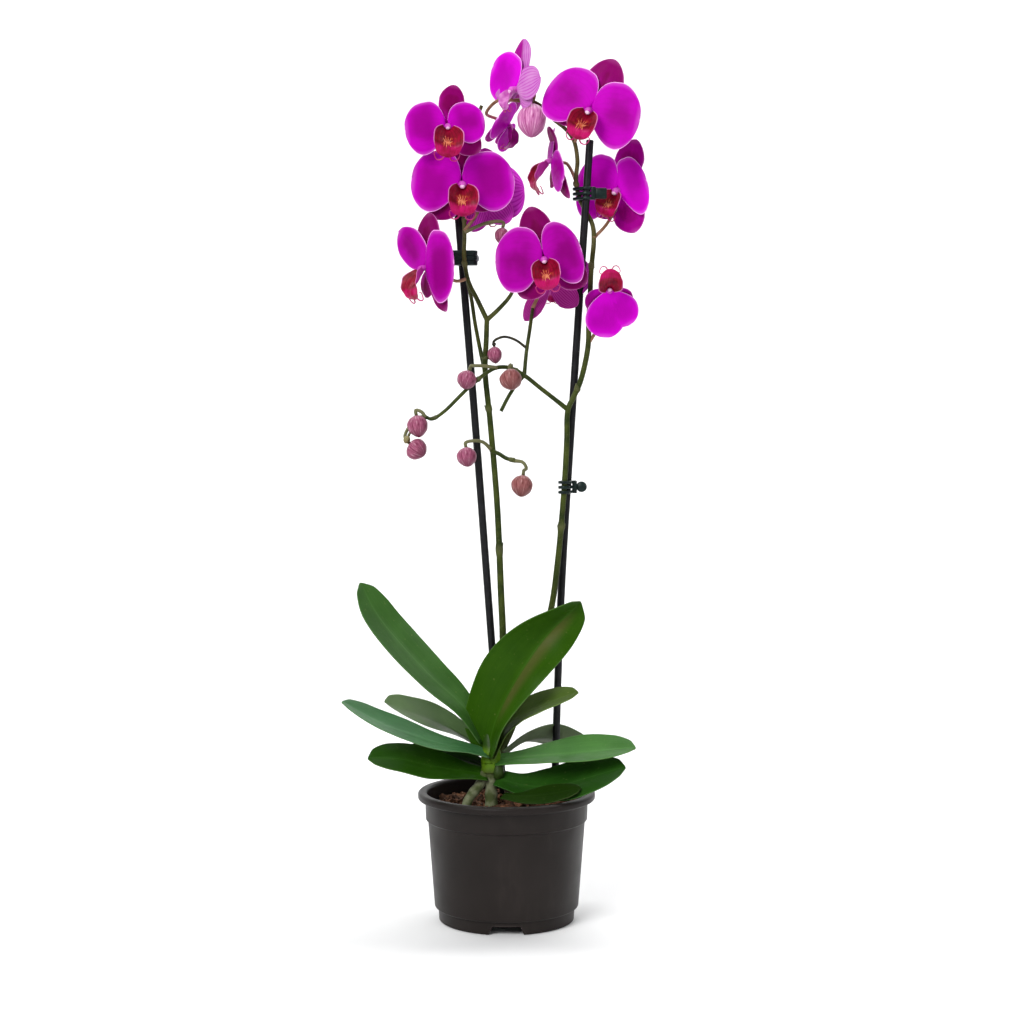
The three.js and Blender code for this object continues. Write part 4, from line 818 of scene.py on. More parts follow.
LEAF_STATIONS = [0, 0.12, 0.35, 0.6, 0.82, 0.95, 1]
LEAF_WIDTHS = [0.42, 0.5, 0.84, 1.0, 0.86, 0.5, 0.16]
LEAF_LOOKS = {
    "leaf_01": ((0.014, 0.052, 0.006), (0.052, 0.142, 0.026), (0.08, 0.12, 0.05), 0.32, 0.10),
    "leaf_02": ((0.011, 0.046, 0.001), (0.032, 0.094, 0.003), (0.06, 0.10, 0.03), 0.32, 0.05, 0.6),
    "leaf_03": ((0.034, 0.066, 0.006), (0.080, 0.130, 0.024), (0.105, 0.165, 0.048), 0.32, 0.05),
    "leaf_04": ((0.022, 0.090, 0.026), (0.066, 0.192, 0.070), (0.08, 0.12, 0.05), 0.28, 0.10),
    "leaf_05": ((0.040, 0.080, 0.026), (0.095, 0.150, 0.058), (0.070, 0.120, 0.045), 0.45, 0.10),
    "leaf_06": ((0.006, 0.034, 0.001), (0.028, 0.100, 0.005), (0.05, 0.08, 0.02), 0.32, 0.05),
    # Painted shade: leaf_07 lies behind and under other leaves and is painted much darker for it.
    "leaf_07": ((0.003, 0.018, 0.001), (0.012, 0.042, 0.003), (0.03, 0.05, 0.02), 0.36, 0.05),
    "leaf_08": ((0.016, 0.074, 0.008), (0.066, 0.200, 0.034), (0.06, 0.10, 0.03), 0.28, 0.10),
    "leaf_09": ((0.005, 0.030, 0.001), (0.026, 0.100, 0.010), (0.03, 0.06, 0.02), 0.30, 0.06),
    "leaf_10": ((0.040, 0.085, 0.035), (0.085, 0.140, 0.065), (0.095, 0.135, 0.065), 0.45, 0.08),
    # Painted shade: leaf_11 lies under leaf_09 and is painted much darker for it.
    "leaf_11": ((0.004, 0.016, 0.001), (0.016, 0.044, 0.003), (0.03, 0.04, 0.01), 0.40, 0.04),
}


def build_leaf(leaf, rng):
    """A folded strap along its spine, thicker at the midrib, with slightly waved edges."""
    t = 1 - (1 - np.linspace(0, 1, 56)) ** 1.35
    line = by_length(leaf["spine"], t)
    way = tangents(by_length(leaf["spine"], np.clip(np.stack([t - 0.01, t + 0.01]), 0, 1).mean(0)))
    width = leaf["half"] * smooth(LEAF_STATIONS, leaf.get("widths", LEAF_WIDTHS), t)
    close = np.clip((1 - t) / 0.05, 0, 1)
    width = width * np.sqrt(np.clip(1 - (1 - close) ** 2, 0.0, 1))
    v = blade_stations(21)
    fold = math.radians(leaf["fold"])
    tip_face = np.array(leaf.get("tip_face", leaf["face"]), float)
    phase = rng.uniform(0, 6.28, 4)
    grid, thick = [], []
    for k, part in enumerate(t):
        face = np.array(leaf["face"], float) * (1 - part**2) + tip_face * part**2
        up = unit(face - way[k] * np.dot(face, way[k]))
        across = np.cross(way[k], up)
        rise = np.sqrt(v**2 + 0.012) - math.sqrt(0.012)
        plus, minus = math.sin(9 * part + phase[0]), math.sin(8 * part + phase[1])
        wave = 0.05 * np.abs(v) ** 3 * (plus * (v > 0) + minus * (v < 0))
        sag = 0.03 * math.sin(5 * part + phase[2])
        lift = width[k] * (rise * math.sin(fold) + wave + sag * np.abs(v))
        grid.append(line[k] + np.outer(v * width[k] * math.cos(fold), across) + np.outer(lift, up))
        rib = 1.2 * np.exp(-(v / 0.09) ** 2) * (1 - part)
        thick.append(0.7 + 1.3 * (1 - v**2) * (1 - 0.3 * part) + rib)
    piece = Piece()
    piece.sheet(np.array(grid), np.array(thick), uv_grid(t, (v + 1) / 2))
    look = leaf_paint(leaf["name"] + "_skin", *LEAF_LOOKS[leaf["name"]])
    piece.finish(leaf["name"] + "_blade", leaf["name"], [look])


# Blooms

def flower_frame(bloom):
    """A function that places a flower's points (right, up, out) on the plant, and the flower's axes."""
    turn, tilt = math.radians(bloom.get("yaw", 0)), math.radians(bloom.get("pitch", 0))
    face = np.array([math.sin(turn) * math.cos(tilt), -math.cos(turn) * math.cos(tilt), math.sin(tilt)])
    up = np.array([0.0, 0.0, 1.0])
    up = unit(up - face * np.dot(up, face))
    roll = -math.radians(bloom.get("roll", 0))
    up = up * math.cos(roll) + np.cross(face, up) * math.sin(roll)
    right = np.cross(up, face)
    basis = np.stack([right, up, face])
    origin = np.array(bloom["at"], float)
    return lambda p: np.asarray(p, float) @ basis + origin, basis


def tepal(place, size, form, outlines, pose, rng, ruffle):
    """Middle surface of a petal or sepal, its thickness and its texture places."""
    turn, long, wide = form[:3]
    layer, bend, cup = pose
    bend = form[3] if len(form) > 3 else bend
    u = 1 - (1 - np.linspace(0, 1, 30)) ** 1.7
    v = blade_stations(23)
    upper, lower = (wide * size * smooth(*zip(*outline), u) / 2 for outline in outlines)
    plus, minus = (lower, upper) if turn > 0 else (upper, lower)
    half = np.where(v > 0, plus[:, None], minus[:, None])
    a = math.radians(turn)
    out, side = np.array([math.sin(a), math.cos(a), 0]), np.array([math.cos(a), -math.sin(a), 0])
    phase = rng.uniform(0, 6.28, 4)
    uu, vv = np.meshgrid(u, v, indexing="ij")
    lift = layer + size * (bend * uu**2 + cup * vv**2 * np.sin(math.pi * np.minimum(uu, 0.8)))
    lift = lift + size * ruffle * np.abs(vv) ** 3 * np.sin(6.5 * uu + phase[0] + 1.3 * vv) * uu
    lift = lift + size * ruffle * 0.6 * np.sin(4.2 * vv + phase[1]) * uu**3
    lift = lift - size * 0.55 * np.exp(-(vv / 0.1) ** 2) * (1 - uu) * uu * 2.2
    edge = 1 + 0.014 * np.sin(11 * uu + phase[2] * np.sign(vv) + phase[3]) * np.abs(vv) ** 2
    grid = (1 + uu * long * size)[..., None] * out + (half * vv * edge)[..., None] * side
    grid[..., 2] += lift
    thick = 0.42 + 0.34 * (1 - np.maximum(np.abs(vv), uu) ** 2)
    return place(grid), thick, np.stack([uu, (vv + 1) / 2], -1)


# Which paint of TEPAL_SKINS a bloom has, for its own tone and partly as painted light and shade; the others
# have the full one
TONE_AND_LIGHT_OF_BLOOMS = {"03": 0, "05": 0, "06": 2, "07": 2, "08": 2, "09": 2, "10": 2, "11": 1}


def build_bloom(bloom, rng):
    """Two petals, three sepals, the column with its cap, and the stub of the stalk."""
    place, basis = flower_frame(bloom)
    size = bloom["size"]
    form = {**FULL_FLOWER, **bloom}
    piece = Piece()
    petal, sepal = (PETAL_UPPER, PETAL_LOWER), (SEPAL_OUTLINE, SEPAL_OUTLINE)
    parts = [("dorsal", form["dorsal"], sepal, DORSAL_POSE, 1)]
    for k in range(2):
        parts.append((f"lateral_{k}", form["laterals"][k], sepal, LATERAL_POSE, 1))
        parts.append((f"petal_{k}", form["petals"][k], petal, PETAL_POSE, 0))
    # The pale blades of bloom 06 get a painted sheen; its dorsal sepal gets it on one side only.
    pale = bloom.get("pale", [])
    skins = TEPAL_SKINS[TONE_AND_LIGHT_OF_BLOOMS.get(bloom["name"], 1)]
    for label, own, outlines, pose, mat in parts:
        grid, thick, uv = tepal(place, size, own, outlines, pose, rng, 0.45 if mat else 0.6)
        tint = 1.0 if label in pale else 0.0
        if label + "_side" in pale:
            tint = np.clip((uv[..., 1] - 0.5) / 0.16, 0, 1)
        piece.sheet(grid, thick, uv, mat=mat, tint=tint)
    path = [[0, -0.6, -1 - COLUMN["stub"]], [0, 0, -2.6], [0, 0.3, 2 * size],
            [0, -0.8, (COLUMN["long"] - 1.6) * size], [0, -1.8, COLUMN["long"] * size]]
    radii = [COLUMN["stub_radius"], COLUMN["stub_radius"] + 0.4, COLUMN["root"] * size,
             COLUMN["head"] * size, COLUMN["head"] / 2 * size]
    t = np.linspace(0, 1, 26)
    line = curve_at(place(path), t)
    width = smooth(np.linspace(0, 1, 5), radii, t)
    cut = int(len(t) * 0.45)
    piece.tube(line[:cut + 1], width[:cut + 1], 20, mat=4)
    piece.tube(line[cut:], width[cut:], 20, mat=2)
    piece.blob(place([0, -1.9 * size, 6.4 * size]), basis, np.array([1.75, 1.6, 1.6]) * size, mat=3)
    for way in (-1, 1):
        piece.blob(place([way * 1.9 * size, -0.6 * size, 4.4 * size]), basis,
                   np.array([0.9, 1.2, 1.9]) * size, mat=2, rows=8, sides=12)
    piece.finish(f"bloom_{bloom['name']}_tepals", f"bloom_{bloom['name']}",
                 [*skins, COLUMN_SKIN, CAP_SKIN, PEDICEL_SKIN])


# Raised flames of the lip's callus: foot and tip across and along the lip's floor, and thickness
FLAMES = [
    [[-0.9, 0.44], [-1.9, 0.24], 0.46], [[-1.6, 0.46], [-3.4, 0.33], 0.44],
    [[-2.3, 0.46], [-2.9, 0.63], 0.46], [[-1.0, 0.44], [-1.2, 0.68], 0.5],
    [[0.1, 0.46], [0.4, 0.26], 0.5], [[0.8, 0.46], [2.2, 0.29], 0.44],
    [[1.4, 0.47], [3.4, 0.42], 0.42], [[0.9, 0.46], [1.9, 0.62], 0.5],
    [[0.0, 0.40], [0.2, 0.58], 0.75], [[-3.0, 0.52], [-2.4, 0.42], 0.42],
]
LIP_LOOKS = {"03": "plain", "06": "pink", "08": "plain", "09": "magenta", "11": "plain"}


def build_lip(bloom, rng):
    """Cup and middle lobe as one blade, the flames of the callus and two tendrils."""
    place, _ = flower_frame(bloom)
    size = bloom.get("lip", bloom["size"])
    rows = np.array(LIP_ROWS)
    stations = np.linspace(0, 1, len(rows))

    def row_at(w):
        values = np.stack([smooth(stations, rows[:, k], w) for k in range(5)], -1)
        close = np.clip((1 - w) / 0.07, 0, 1)
        values[..., 0] *= np.sqrt(np.clip(1 - (1 - close) ** 2, 0.02, 1))
        return values

    w = np.linspace(0, 1, 60)
    values = row_at(w)
    v = blade_stations(29)
    rise = np.abs(v) ** 1.7
    phase = rng.uniform(0, 6.28)
    grid = np.empty((len(w), len(v), 3))
    grid[..., 0] = values[:, 0:1] * v
    grid[..., 1] = values[:, 3:4] + (values[:, 1:2] - values[:, 3:4]) * rise
    grid[..., 2] = values[:, 4:5] + (values[:, 2:3] - values[:, 4:5]) * rise
    grid[..., 2] += 0.35 * np.abs(v) ** 4 * np.sin(22 * w[:, None] + phase)
    ridge = np.exp(-(v / 0.14) ** 2) * np.clip((w[:, None] - 0.5) / 0.2, 0, 1)
    grid[..., 2] += 0.8 * (ridge * np.clip((1 - w[:, None]) / 0.3, 0, 1))
    piece = Piece()
    thick = 0.45 + 0.35 * (1 - v**2) * np.ones((len(w), 1))
    piece.sheet(place(grid * size), thick, uv_grid(w, (v + 1) / 2), turned=True)
    look = LIP_LOOKS.get(bloom["name"], "flame")
    for (x0, w0), (x1, w1), girth in FLAMES if look == "flame" else []:
        t = np.linspace(0, 1, 9)
        x, along = x0 + (x1 - x0) * t, w0 + (w1 - w0) * t
        row = row_at(along)
        lift = (np.abs(x) / row[:, 0]) ** 1.7
        line = np.stack([x, row[:, 3] + (row[:, 1] - row[:, 3]) * lift,
                         row[:, 4] + (row[:, 2] - row[:, 4]) * lift + 0.5], 1)
        piece.tube(place(line * size), girth * size * (1 - 0.75 * t**2), 8, mat=2, round_end=True)
    for way in (-1, 1):
        path = place(np.array([[way * x, y, z] for x, y, z, _ in TENDRIL]) * size)
        t = np.linspace(0, 1, 30)
        radii = np.interp(t, np.linspace(0, 1, len(TENDRIL)), [p[3] for p in TENDRIL]) * size
        piece.tube(curve_at(path, t), radii, 10, tint=0.2, mat=1, round_end=True)
    piece.finish(f"lip_{bloom['name']}_lobes", f"lip_{bloom['name']}",
                 [LIP_SKINS[look], TENDRIL_SKIN, CALLUS_SKIN])


# Buds and spikes

def bud_end(bud):
    """Where a bud's stalk joins it, and the way that the stalk leaves."""
    away = -unit(np.array(bud["tip"], float))
    return np.array(bud["at"], float) + away * bud["long"] / 2, away


def stub_end(bloom):
    """Where a bloom's stalk joins it, and the way that the stalk leaves."""
    place, _ = flower_frame(bloom)
    end, start = place([0, -0.6, -1 - COLUMN["stub"]]), place([0, 0, -1])
    return end, unit(end - start)


# A bud's half width in parts of the widest, from stalk to tip
BUD_OUTLINE = [[0, 0.12], [0.05, 0.36], [0.14, 0.7], [0.4, 1.0], [0.66, 0.9], [0.86, 0.55], [0.95, 0.3],
               [1, 0.02]]


def build_bud(bud, look):
    end, away = bud_end(bud)
    tip = -away
    side = unit(np.cross([0.9, 0.3, 0.2], tip))
    other = np.cross(tip, side)
    u = np.linspace(0, 1, 34)
    shape = smooth(*zip(*BUD_OUTLINE), u)
    turn = round_angles(36)
    radius = bud["wide"] / 2 * np.outer(shape, 1 - 0.05 * np.cos(3 * turn))
    seam = np.exp(-((np.cos(1.5 * turn)) ** 2) / 0.012)
    radius = radius * (1 - 0.05 * np.outer(np.sin(math.pi * u) ** 0.5, seam))
    verts = (end + np.outer(u * bud["long"], tip))[:, None, :]
    verts = verts + (radius * np.cos(turn))[..., None] * side + (radius * np.sin(turn))[..., None] * other
    faces = ring_faces(len(u), len(turn)) + flat_ends(len(u), len(turn))
    piece = Piece()
    piece.add(verts, faces, uv_grid(u, turn / (2 * math.pi)))
    piece.finish(bud["name"] + "_skin", bud["name"], [look])


def stem_line(points, spacing=1.6):
    """Fine line through points that hold a place and a radius."""
    points = np.asarray(points, float)
    length = np.linalg.norm(np.diff(points[:, :3], axis=0), axis=1).sum()
    t = np.linspace(0, 1, max(8, int(length / spacing)))
    line = curve_at(points[:, :3], t)
    radii = np.interp(t * (len(points) - 1), np.arange(len(points)), points[:, 3])
    return t, line, radii


def add_stem(piece, points, rings, rng):
    """A stem with a swollen ring and a bract at each node."""
    t, line, radii = stem_line(points)
    length = run_along(line)[-1]
    tint = np.zeros(len(t))
    for ring in rings:
        gap = (t - ring) * length
        radii = radii * (1 + 0.36 * np.exp(-(gap / 1.1) ** 2))
        tint = np.maximum(tint, 0.4 * np.exp(-(gap / 1.2) ** 2))
    piece.tube(line, radii, 14, tint=np.append(np.repeat(tint, 14), [0, 0]), mat=0)
    for ring in rings:
        k = int(np.argmin(np.abs(t - ring)))
        way = tangents(line)[k]
        side = unit(np.cross(way, rng.normal(size=3)))
        add_bract(piece, line[k], way, side, radii[k] * 0.86)


def add_bract(piece, centre, way, side, radius):
    """The small dry sheath that clasps a node and points upward."""
    other = np.cross(way, side)
    rows = []
    for u in np.linspace(0, 1, 9):
        half = 1.9 * (1 - u**1.6) + 0.06
        reach = radius + 0.25 + 0.5 * u**2
        angles = np.linspace(-half, half, 11)
        rows.append(centre + way * (u * 3.8 - 0.6) + np.outer(np.cos(angles) * reach, side)
                    + np.outer(np.sin(angles) * reach, other))
    uv = uv_grid(np.linspace(0, 1, 9), np.linspace(0, 1, 11))
    piece.sheet(np.array(rows), 0.25, uv, tint=0.35, mat=0)


def add_stalk(piece, points, end, away, radius, mat=1):
    """The stalk of a bloom or bud, from its spike to its end."""
    path = [list(p) for p in points] + [list(end + away * 3.3), list(end + away * 0.1)]
    line = np.array([p + [radius] for p in path])
    _, centre, radii = stem_line(line, 1.2)
    swell = 1 + 0.25 * np.exp(-np.linspace(0, 1, len(radii)) * 14)
    piece.tube(centre, radii * swell, 12, tint=0.9, mat=mat)


def build_spike(spike, index, rng):
    piece = Piece()
    for points, rings in zip(spike["stems"], spike["rings"]):
        add_stem(piece, points, rings, rng)
    for bloom in BLOOMS:
        if bloom["stalk"] and bloom["stalk"][0] == index:
            add_stalk(piece, bloom["stalk"][1:], *stub_end(bloom), 1.15)
    for bud in BUDS:
        if bud["stalk"] and bud["stalk"][0] == index:
            add_stalk(piece, bud["stalk"][1:], *bud_end(bud), 1.2, 0)
    if index == 1:
        add_stem(piece, CROSSING_TWIG, [], rng)
        add_stem(piece, CROSSING_LOW, [], rng)
        add_stalk(piece, [CROSSING_TWIG[3][:3]], *stub_end(BLOOMS[11]), 1.15)
        add_stalk(piece, BUD_ONE_TWIG, *bud_end(BUDS[0]), 0.9, 2)
        add_stalk(piece, BUD_TEN_TWIG, *bud_end(BUDS[9]), 0.9, 0)
        end, away = bud_end(BUDS[0])
        piece.blob(end + away * 1.6, np.eye(3), (1.5, 1.5, 1.3), mat=2)
    piece.finish(spike["name"] + "_stems", spike["name"], [SPIKE_SKIN, PEDICEL_SKIN, DRY_SKIN])


# Pot, medium, sticks, clips, crown and roots

POT_PROFILE = [
    [0, 7], [44.3, 7], [44.3, 0], [45.6, 0], [46.1, 8.4], [48.6, 8.8], [53.2, 66.9], [54.7, 67.5],
    [55.1, 81], [59.3, 81], [60, 81.9], [60, 84.8], [58.8, 86], [54.7, 86], [53.8, 84.4], [53.4, 68.5],
    [51.9, 66.5], [47.3, 11], [44.3, 8.4], [0, 8.4],
]
POT_FILLETS = [0, 0, 0.3, 0.3, 0.6, 1.2, 0.5, 0.5, 0.7, 0.5, 0.8, 0.9, 1.0, 0.8, 0.6, 0.5, 0.6, 2.0, 1.0, 0]
POT_SIDES = 168
NOTCHES = 3
NOTCH_OUTLINE = [(-12, -1), (12, -1), (9, 5.4), (-9, 5.4)]
NOTCH_REACH = (-55.6, -35.6)
DRAIN_HOLES = 6
DRAIN_HOLE_REACH = 27
DRAIN_HOLE_RADIUS = 4
MEDIUM_PROFILE = [[0, 8.7], [44, 8.7], [46.9, 11.3], [51.5, 66], [53, 68.5], [53.4, 72.5], [50, 73.2],
                  [34, 73.6], [0, 74.2]]
MEDIUM_SIDES = 72
MEDIUM_TOP = MEDIUM_PROFILE[-1][1]
CHIPS = 640
CHIP_REACH = 50.5
CHIP_LIMIT = 52.6
GOLDEN_TURN = 2.39996
FIBRES = 70


def fillet(points, sizes, steps=5):
    """Rounds each corner of an open outline."""
    out = []
    for k, (point, size) in enumerate(zip(points, sizes)):
        p = np.array(point, float)
        if size == 0 or k in (0, len(points) - 1):
            out.append(p)
            continue
        a, b = np.array(points[k - 1], float), np.array(points[k + 1], float)
        reach = min(size, np.linalg.norm(a - p) * 0.45, np.linalg.norm(b - p) * 0.45)
        start, end = p + unit(a - p) * reach, p + unit(b - p) * reach
        for s in np.linspace(0, 1, steps):
            out.append(start * (1 - s) ** 2 + 2 * p * s * (1 - s) + end * s**2)
    return np.array(out)


def prism(outline, low, high, turn):
    """A closed bar of an outline across Y, turned about the pot's axis."""
    c, s = math.cos(turn), math.sin(turn)
    verts = [(x * c - y * s, x * s + y * c, z) for y in (low, high) for x, z in outline]
    return verts, ring_faces(2, len(outline)) + flat_ends(2, len(outline))


def build_pot():
    """The turned shell, cut by the notches of its foot and the drain holes of its floor."""
    outline = fillet(POT_PROFILE, POT_FILLETS)
    inner = outline[1:-1]
    ends = [[0, 0, outline[0][1]], [0, 0, outline[-1][1]]]
    verts = np.concatenate(turned_rings(inner, POT_SIDES) + [np.array(ends)])
    faces = ring_faces(len(inner), POT_SIDES) + pointed_ends(len(inner), POT_SIDES)
    shell = new_object("pot_shell", new_mesh("pot_shell", verts, faces))
    forms = [prism(NOTCH_OUTLINE, *NOTCH_REACH, 2 * math.pi * k / NOTCHES) for k in range(NOTCHES)]
    ring = round_angles(20)
    for k in range(DRAIN_HOLES):
        at = math.pi * (2 * k + 1) / DRAIN_HOLES
        cx, cy = DRAIN_HOLE_REACH * math.cos(at), DRAIN_HOLE_REACH * math.sin(at)
        verts = [(cx + DRAIN_HOLE_RADIUS * math.cos(a), cy + DRAIN_HOLE_RADIUS * math.sin(a), z)
                 for z in (4, 10) for a in ring]
        forms.append((verts, ring_faces(2, 20) + flat_ends(2, 20)))
    cutters = [new_object("cutter", new_mesh("cutter", verts, faces)) for verts, faces in forms]
    for tool in cutters:
        mend = bmesh.new()
        mend.from_mesh(tool.data)
        bmesh.ops.recalc_face_normals(mend, faces=mend.faces)
        mend.to_mesh(tool.data)
        mend.free()
        cut = shell.modifiers.new("cut", "BOOLEAN")
        cut.object, cut.operation, cut.solver = tool, "DIFFERENCE", "EXACT"
    result = bpy.data.meshes.new_from_object(shell.evaluated_get(bpy.context.evaluated_depsgraph_get()))
    shell.modifiers.clear()
    shell.data = result
    for tool in cutters:
        bpy.data.objects.remove(tool)
    result.materials.clear()
    result.materials.append(pot_paint())
    result.polygons.foreach_set("material_index", [0] * len(result.polygons))
    result.polygons.foreach_set("use_smooth", [True] * len(result.polygons))
    result.set_sharp_from_angle(angle=math.radians(34))
    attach(shell, "root")
    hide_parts("pot")


def chip_shape(rng):
    """A broken piece of bark: a cube skin of 26 points, pulled about."""
    steps = (-1, 0, 1)
    cells = [(x, y, z) for x in steps for y in steps for z in steps]
    points = [np.array(cell, float) for cell in cells if cell != (0, 0, 0)]
    ids = {tuple(p.astype(int)): k for k, p in enumerate(points)}
    faces = []
    for axis in range(3):
        for way in (-1, 1):
            b, c = [k for k in range(3) if k != axis]
            for i in (-1, 0):
                for j in (-1, 0):
                    quad = []
                    for di, dj in ((0, 0), (1, 0), (1, 1), (0, 1)):
                        q = [0, 0, 0]
                        q[axis], q[b], q[c] = way, i + di, j + dj
                        quad.append(ids[tuple(q)])
                    flip = (way > 0) == (axis == 1)
                    faces.append(quad[::-1] if flip else quad)
    verts = np.array([p / (1 + 0.16 * (np.abs(p).sum() - 1)) for p in points])
    verts = verts + rng.normal(scale=0.13, size=verts.shape)
    return verts, faces


def build_medium(rng):
    """The body of the medium, the chips on top of it and loose fibres."""
    piece = Piece()
    inner = MEDIUM_PROFILE[1:-1]
    ends = [[0, 0, MEDIUM_PROFILE[0][1]], [0, 0, MEDIUM_TOP]]
    verts = np.concatenate(turned_rings(inner, MEDIUM_SIDES) + [np.array(ends)])
    faces = ring_faces(len(inner), MEDIUM_SIDES) + pointed_ends(len(inner), MEDIUM_SIDES)
    piece.add(verts, faces, np.zeros((len(verts), 2)), tint=0.1)
    for k in range(CHIPS):
        reach = CHIP_REACH * math.sqrt((k + 0.5) / CHIPS)
        a = k * GOLDEN_TURN + rng.uniform(-0.3, 0.3)
        size = np.array([rng.uniform(1.8, 4.4), rng.uniform(1.3, 2.9), rng.uniform(0.8, 1.8)])
        verts, faces = chip_shape(rng)
        spin = (Matrix.Rotation(rng.uniform(0, 6.28), 3, "Z") @ Matrix.Rotation(rng.normal(0, 0.4), 3, "X")
                @ Matrix.Rotation(rng.normal(0, 0.4), 3, "Y"))
        verts = (verts * size) @ np.array(spin).T
        heap = 1.2 * math.exp(-(reach / 30) ** 2)
        height = MEDIUM_TOP + heap + rng.uniform(-0.6, 2.6)
        centre = np.array([reach * math.cos(a), reach * math.sin(a), height])
        past = np.hypot(*(centre + verts)[:, :2].T).max() - CHIP_LIMIT
        if past > 0:
            centre[:2] *= (reach - past) / reach
        piece.add(verts + centre, faces, np.zeros((26, 2)), tint=rng.uniform(0, 1) ** 1.3)
    for _ in range(FIBRES):
        reach, a = 46 * math.sqrt(rng.uniform()), rng.uniform(0, 6.28)
        at = np.array([reach * math.cos(a), reach * math.sin(a), 77 + rng.uniform(-0.5, 1.0)])
        way = np.array([math.cos(rng.uniform(0, 6.28)), math.sin(rng.uniform(0, 6.28)),
                        rng.uniform(-0.1, 0.25)])
        bow = rng.normal(scale=1.4, size=3) * [1, 1, 0.4]
        length = rng.uniform(2, 5)
        line = curve_at([at - way * length, at + bow, at + way * length], np.linspace(0, 1, 9))
        piece.tube(line, np.full(9, rng.uniform(0.14, 0.26)), 5, tint=0.9)
    soil = piece.finish("growing_medium_chips", "growing_medium", [bark_paint()])
    soil.data.set_sharp_from_angle(angle=math.radians(38))


def build_stakes():
    look = plastic_paint("stick_coat", (0.0045, 0.0045, 0.0055), (0.010, 0.010, 0.012), 0.36)
    for name, points in STAKES.items():
        p = np.array(points, float)
        foot = p[0] + unit(p[0] - p[1]) * STAKE_FOOT
        t = 1 - (1 - np.linspace(0, 1, 90)) ** 2
        line = curve_at(np.vstack([foot, p]), t)
        end = np.clip(np.linalg.norm(line - line[-1], axis=1) / 0.9, 0, 1)
        radii = STAKE_RADIUS - 0.9 + 0.9 * np.sqrt(1 - (1 - end) ** 2)
        piece = Piece()
        piece.tube(line, radii, 28)
        piece.finish(name + "_rod", name, [look])


def build_crown():
    """The short stem, the dry sheath at its foot and three old leaf bases."""
    piece = Piece()
    body = np.array([[-10.5, -3, 97, 5.6], [-10.6, -2.4, 104, 6.6], [-10.4, -1.4, 112, 6.4],
                     [-11.4, -0.4, 120, 4.6], [-12.4, 0, 126, 2.2]])
    _, line, radii = stem_line(body, 1.0)
    piece.tube(line, radii, 28, round_end=True)
    sheath = np.array([[-7, -7, 95.5, 2.6], [-5.5, -7.4, 99, 4.2], [-5.6, -6.4, 104, 3.4]])
    _, line, radii = stem_line(sheath, 0.7)
    piece.tube(line, radii * 0.98, 24, tint=1.0, round_end=True)
    rng = np.random.default_rng(31)
    for k in range(3):
        base = np.array([-10.5, -3.0, 99 + 3.4 * k])
        side = unit(np.array([math.cos(2.4 * k - 1.6), math.sin(2.4 * k - 1.6), 0]))
        other = np.array([-side[1], side[0], 0])
        rows = []
        for u in np.linspace(0, 1, 10):
            half = 1.5 * (1 - u**2) + 0.08
            angles = np.linspace(-half, half, 13)
            reach = 6.75 - 0.7 * u
            rows.append(base + np.array([0, 0, u * 7]) + np.outer(np.cos(angles) * reach, side)
                        + np.outer(np.sin(angles) * reach, other))
        uv = np.zeros((10, 13, 2))
        piece.sheet(np.array(rows), 0.4, uv, tint=rng.uniform(0.1, 0.5))
    piece.finish("crown_stem", "crown", [crown_paint()])


def build_roots(rng):
    look = root_paint()
    for name, points in ROOTS.items():
        t, line, radii = stem_line(points, 0.8)
        wave = 1 + 0.05 * np.sin(t * 31 + rng.uniform(0, 6)) + 0.04 * np.sin(t * 13 + rng.uniform(0, 6))
        piece = Piece()
        piece.tube(line, radii * wave, 22)
        piece.finish(name + "_skin", name, [look])


def add_box(piece, centre, size, radius):
    """A box with rounded edges."""
    made = bmesh.new()
    bmesh.ops.create_cube(made, size=1.0)
    for vertex in made.verts:
        vertex.co = Vector(c * s for c, s in zip(vertex.co, size))
    bmesh.ops.bevel(made, geom=list(made.edges), offset=radius, segments=3, profile=0.5, affect="EDGES")
    verts = np.array([list(v.co) for v in made.verts])
    faces = [[v.index for v in f.verts] for f in made.faces]
    made.free()
    piece.add(verts + centre, faces, np.zeros((len(verts), 2)))


def point_at_height(points, height):
    p = np.array(points, float)[:, :3]
    return np.array([np.interp(height, p[:, 2], p[:, k]) for k in range(3)])


CLIP_SIDES = 48
FINGER_WALL = 1.55
FINGER_STEP = 3.4
# Rounding of a finger's rim: growth of the outline, and height in parts of the half height
FINGER_RIM = ((-0.5, -1.0), (-0.12, -0.9), (0, -0.6), (0, 0.6), (-0.12, 0.9), (-0.5, 1.0))


